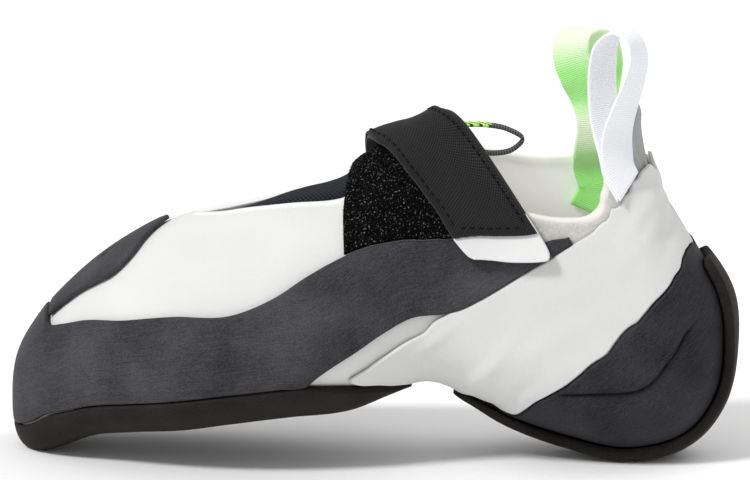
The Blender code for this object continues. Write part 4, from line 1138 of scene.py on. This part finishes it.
def strap_rows(first, inset, step_count, across_count, straighten=0.0):
    """Places and heights of a strap layer, its edges set in from the base's edges by inset."""
    at = np.linspace(first, len(STRAP_ROWS) - 1, step_count)
    near_end = first + np.array((0.04, 0.1, 0.2, 0.3, 0.45))
    at = np.unique(np.concatenate([at, near_end]))
    girths, front, rear, rise, front_rise, bow = (read_rows(STRAP_ROWS, at, k)[:, None] for k in range(6))
    bow = bow * (1 + straighten * np.exp(first - at)[:, None])
    count = np.arange(len(at), dtype=float)
    edges = [line(np.hstack([side, girths]), count, sign * inset) for side, sign in ((front, -1), (rear, 1))]
    share = shares(across_count)
    reach, girth = from_map(across(edges[0], edges[1], share))
    rise = rise + (front_rise - rise) * (1 - share) ** 2
    places = to_map(reach, girth + bow * 4 * share * (1 - share))
    return places, rise.clip(0, None) * WRAP, at[:, None] - share


finish = Finish("Strap weave", 0.62, specular=0.22)
u, v = finish.along_across()
first_way = (u * 2.6 + v * 2.6).sine().size()
second_way = (u * 2.6 - v * 2.6).sine().size()
squares = first_way.least(second_way)
speck = finish.noise(finish.object_place(), 1500.0, 2.0, 0.6)
mask = (squares * 0.85 + (speck - 0.5) * 0.3).clipped()
weave = finish.surface(finish.mix(mask, (0.003, 0.003, 0.0035), (0.026, 0.026, 0.028)), 0.70 - squares * 0.30,
                       squares, 0.00028)
places, rise, row = strap_rows(0, 0.0, 150, 44)
under = np.clip((row - COVER_START) * 20, 0, 1)
panel("strap_dressed", "strap", places, rise + SEAT, STRAP_BASE, strap_felt, edge=0.0006,
      painted={"under": under})
places, rise, row = strap_rows(COVER_START, COVER_INSET, 170, COVER_ACROSS, 1.0)
low = rise + SEAT + GAP + STRAP_BASE
away = from_edge(on_last(places, low))
panel("strap_cover_dressed", "strap_cover", places, low, STRAP_COVER, weave, edge=0.0007,
      relief=-COVER_SEAM * hump(away - STITCH_INSET, SEAM_WIDTH))

# %% [markdown]
# A line of black stitches runs two millimetres inside the cover's edge. Each stitch is a short thread that dips
# into the cover at both ends.

# %% Strap stitches
STITCH_PITCH = 0.0031
STITCH_LENGTH = 0.0021


def stitch_line(path, lift, pitch, length, sink=0.00035):
    """Stitches along a path on the flat map, at a height off the last."""
    spots = on_last(path, lift)
    up = last_normal(path)
    run = run_of(spots, 0)
    stitches = []
    for start in np.arange(pitch / 2, run[-1] - length, pitch):
        at = start + length * np.array((0.0, 0.2, 0.5, 0.8, 1.0))
        spot, way = (np.stack([np.interp(at, run, table[:, k]) for k in range(3)], 1) for table in (spots, up))
        stitches.append(spot + way * (np.array((-1.0, 0.2, 0.45, 0.2, -1.0))[:, None] * sink))
    return stitches


black_thread = Finish("Black thread", 0.50, specular=0.10).surface((0.002, 0.002, 0.002))
places, rise, row = strap_rows(COVER_START, COVER_INSET + STITCH_INSET, 260, COVER_ACROSS, 1.0)
top = rise + SEAT + GAP + STRAP_BASE + STRAP_COVER - 0.0001
first = int(np.argmax(run_of(on_last(places, top), 0)[:, COVER_ACROSS // 2] > STITCH_INSET))
front_end, rear_end, end_row = (slice(first, None), 0), (slice(first, None), -1), first
stitches = []
for path in (front_end, rear_end, end_row):
    stitches += stitch_line(places[path], top[path], STITCH_PITCH, STITCH_LENGTH)
thread_mesh("strap_stitches", stitches, 0.00028, black_thread, 6)

# %% [markdown]
# The pull loops are flat ribbed webbing. Each is one ribbon along a smooth path through a few points, with the
# way its width runs given at each, so that it can twist. Fine ribs cross the webbing. It is thin enough to let
# light through, for which a weak emission stands.

# %% Webbing
LOOP_WIDTH = 0.0130
LOOP_RISE = 0.0480
LOOP_THICKNESS = 0.0012
RIBBON_STEP = 0.0007
LEG_STAND = 0.0009
OUTER_LEGS = ((0.905, 0.372), (0.925, 0.364), (0.944, 0.354))
OUTER_LOOP = (
    (-0.030, 0.040, 0.110, 0.30), (-0.075, 0.080, 0.270, 0.42), (-0.090, 0.100, 0.450, 0.44),
    (-0.088, 0.100, 0.630, 0.46), (-0.060, 0.080, 0.790, 0.56), (0.025, 0.040, 0.880, 0.70),
    (0.120, 0.000, 0.840, 0.72), (0.165, -0.030, 0.710, 0.67), (0.135, -0.060, 0.530, 0.60),
    (0.070, -0.070, 0.340, 0.50), (0.020, -0.040, 0.150, 0.40),
)
INNER_LEGS = ((0.772, -0.585), (0.815, -0.560), (0.858, -0.540))
INNER_LOOP = (
    (0.005, -0.090, 0.130, 0.00), (0.035, -0.115, 0.340, 0.00), (0.070, 0.010, 0.570, -0.05),
    (0.100, 0.120, 0.790, -0.10), (0.060, 0.110, 0.950, -0.25), (-0.035, 0.000, 1.030, -0.35),
    (-0.140, -0.120, 1.000, -0.25), (-0.165, -0.160, 0.880, -0.10), (-0.110, -0.160, 0.700, 0.00),
    (-0.015, -0.130, 0.510, 0.00), (0.025, -0.160, 0.320, 0.00), (0.010, -0.120, 0.130, 0.00),
)
OUTER_SLANT = (0.38, 0.20, 0.00)


def webbing(name, dark, pale, fade=None, rib=8.5, depth=0.00009, painted_glow=0.0):
    finish = Finish(name, 0.72, sheen=0.15, specular=0.3)
    u, v = finish.along_across()
    ribs, yarn = (u * rib).wave(), (v * 9.0).wave()
    speck = finish.noise(finish.object_place(), 900.0, 2.0, 0.6)
    mask = (ribs * 0.5 + yarn * 0.15 + (speck - 0.5) * 0.5 + 0.25).clipped()
    colour = finish.mix(mask, dark, pale)
    if fade:
        shade, stops = fade
        height = finish.part_of(finish.object_place(), 2)
        ramp = [((z - stops[0][0]) / (stops[-1][0] - stops[0][0]), (share, share, share, 1)) for z, share in stops]
        share = (height - stops[0][0]) / (stops[-1][0] - stops[0][0])
        colour = finish.mix(finish.add("ShaderNodeValToRGB", {"stops": ramp}, {"Fac": share}), colour, shade)
    finish.feed(finish.shader.inputs["Emission Color"], colour)
    finish.shader.inputs["Emission Strength"].default_value = painted_glow
    return finish.surface(colour, None, ribs + yarn * 0.4, depth)


def ribbon(name, node, points, wides, slants, width, thickness, material):
    """Webbing along smooth points, each with the direction that its width takes and how far it slants."""
    points = np.array(points)
    wides = np.array(wides)
    run = run_of(points, 0)
    at = np.linspace(0, run[-1], int(run[-1] / RIBBON_STEP))
    middle, wide = (np.stack([smooth(run, table[:, k], at) for k in range(3)], 1) for table in (points, wides))
    ahead = unit(np.gradient(middle, axis=0))
    wide = unit(wide - ahead * (wide * ahead).sum(1, keepdims=True))
    face = np.cross(wide, ahead)
    slant = np.interp(at, run, slants)[:, None]
    spread = (2 * shares(18) - 1) * width / 2
    flat = middle[:, None] + (wide + ahead * slant)[:, None] * spread[None, :, None]
    half = face[:, None] * thickness / 2 * (0.45 + 0.55 * rounded(from_edge(flat), 0.0007))[..., None]
    sheet(name, node, flat - half, flat + half, material)
    return middle, face, wide


def heel_loop(name, node, legs, slant, free, lift, away, material):
    """A pull loop whose two legs lie on the upper near its rim, one over the other."""
    fixed = to_map(*np.array(legs).T)
    stand = lift + away * LEG_STAND * np.array([0.0, 0.3, 1.0])
    near = on_last(fixed, stand)
    far = on_last(fixed, stand + away * (LOOP_THICKNESS + GAP))
    beside = unit(np.cross(np.gradient(near, axis=0), last_normal(fixed)))
    beside *= np.sign(beside[:, :1])
    path = near[-1] + LOOP_RISE * np.array([row[:3] for row in free])
    turn = np.array([row[3] for row in free]) * math.pi / 2
    level = np.zeros(len(turn))
    turned = np.stack([np.cos(turn), np.sin(turn), level], axis=1)
    points = np.concatenate([near, path, far[::-1]])
    wides = np.concatenate([beside, turned, beside[::-1]])
    slants = np.concatenate([slant, level, -np.array(slant)[::-1]])
    return ribbon(name, node, points, wides, slants, LOOP_WIDTH, LOOP_THICKNESS, material)


white_webbing = webbing("White webbing", (0.72, 0.725, 0.765), (0.84, 0.845, 0.875), painted_glow=0.09)
FADE = (
    (0.098, 0.00), (0.106, 0.35), (0.112, 0.90), (0.119, 0.90), (0.126, 0.15), (0.136, 0.05), (0.147, 0.95),
    (0.152, 1.00),
)
green_webbing = webbing("Green webbing", (0.27, 0.74, 0.17), (0.36, 0.84, 0.24), ((0.72, 0.83, 0.60), FADE),
                        painted_glow=0.13)
outside = SEAT + LOOP_THICKNESS / 2
inside = -UPPER_WALL - SEAT - LOOP_THICKNESS / 2
outer_run = heel_loop("outer_loop_dressed", "heel_loop_outer", OUTER_LEGS, OUTER_SLANT,
                      OUTER_LOOP, outside, 1, white_webbing)
inner_run = heel_loop("inner_loop_dressed", "heel_loop_inner", INNER_LEGS, (0.0, 0.0, 0.0),
                      INNER_LOOP, inside, -1, green_webbing)

# %% [markdown]
# Both legs are fixed with a bartack, a dense zigzag of thread.

# %% Bartacks
BARTACK_LEAN = 0.36
BARTACK_STAND = 0.0001


def bartack(run, start, end, side, count):
    """A zigzag across the webbing between two places along it, on one of its faces."""
    middle, face, wide = run
    path = []
    for k in range(count + 1):
        spot = start + (end - start) * k / count
        at = int(spot / RIBBON_STEP)
        lean = (BARTACK_LEAN if k % 2 else -BARTACK_LEAN) * LOOP_WIDTH
        path.append(middle[at] + wide[at] * lean + face[at] * side * (LOOP_THICKNESS / 2 + BARTACK_STAND))
    return path


green_thread = Finish("Green thread", 0.6).surface((0.62, 0.90, 0.50))
white_thread = Finish("White thread", 0.6).surface((0.86, 0.86, 0.88))
thread_mesh("outer_bartack", [bartack(outer_run, 0.001, 0.009, 1, 14)], 0.00022, white_thread, 6)
thread_mesh("inner_bartack", [bartack(inner_run, 0.001, 0.010, -1, 14)], 0.00022, green_thread, 6)

# %% [markdown]
# A small loop of narrow ribbed webbing sticks out behind the strap to pull the tongue up. Its upper leg has a
# short lime green piece next to the strap.

# %% Tongue loop
CORD_WIDTH = 0.0060
CORD_REACH = 0.0230
LIME_START, LIME_END = 6.0, 21.0
CORD_LOOP = (
    (0.36, -0.02), (0.74, -0.03), (1.06, -0.10), (1.28, -0.25), (1.14, -0.40), (0.84, -0.47), (0.48, -0.40),
)
finish = Finish("Grey webbing", 0.75, specular=0.3)
u, v = finish.along_across()
ribs = (u * 6.5).wave()
grey = finish.mix(ribs, (0.022, 0.022, 0.025), (0.115, 0.115, 0.125))
slant = ((u * 1.9 + v * 1.6).sine() - 0.35) * 9
lime = finish.mix(slant.clipped(), (0.50, 0.88, 0.16), (0.02, 0.03, 0.02))
lime_zone = ((u - LIME_START) > 0.0) * ((LIME_END - u) > 0.0)
grey_webbing = finish.surface(finish.mix(lime_zone, grey, lime), None, ribs, 0.00018)
end = np.array([[0.612, 1.0], [0.640, 1.0]])
over = on_last(to_map(*end.T), np.full(2, -UPPER_WALL + FACET_ROOM + LOOP_THICKNESS / 2))
under = on_last(to_map(*end.T), np.full(2, tongue_face - SEAT - FACET_ROOM - LOOP_THICKNESS / 2))
path = [over[0], over[1]] + [over[1] + CORD_REACH * np.array([back, 0.0, rise]) for back, rise in CORD_LOOP]
path += [under[1], under[0]]
count = len(path)
ribbon("tongue_loop_dressed", "tongue_loop", path, [(0.0, 1.0, 0.0)] * count, [0.0] * count,
       CORD_WIDTH, LOOP_THICKNESS, grey_webbing)
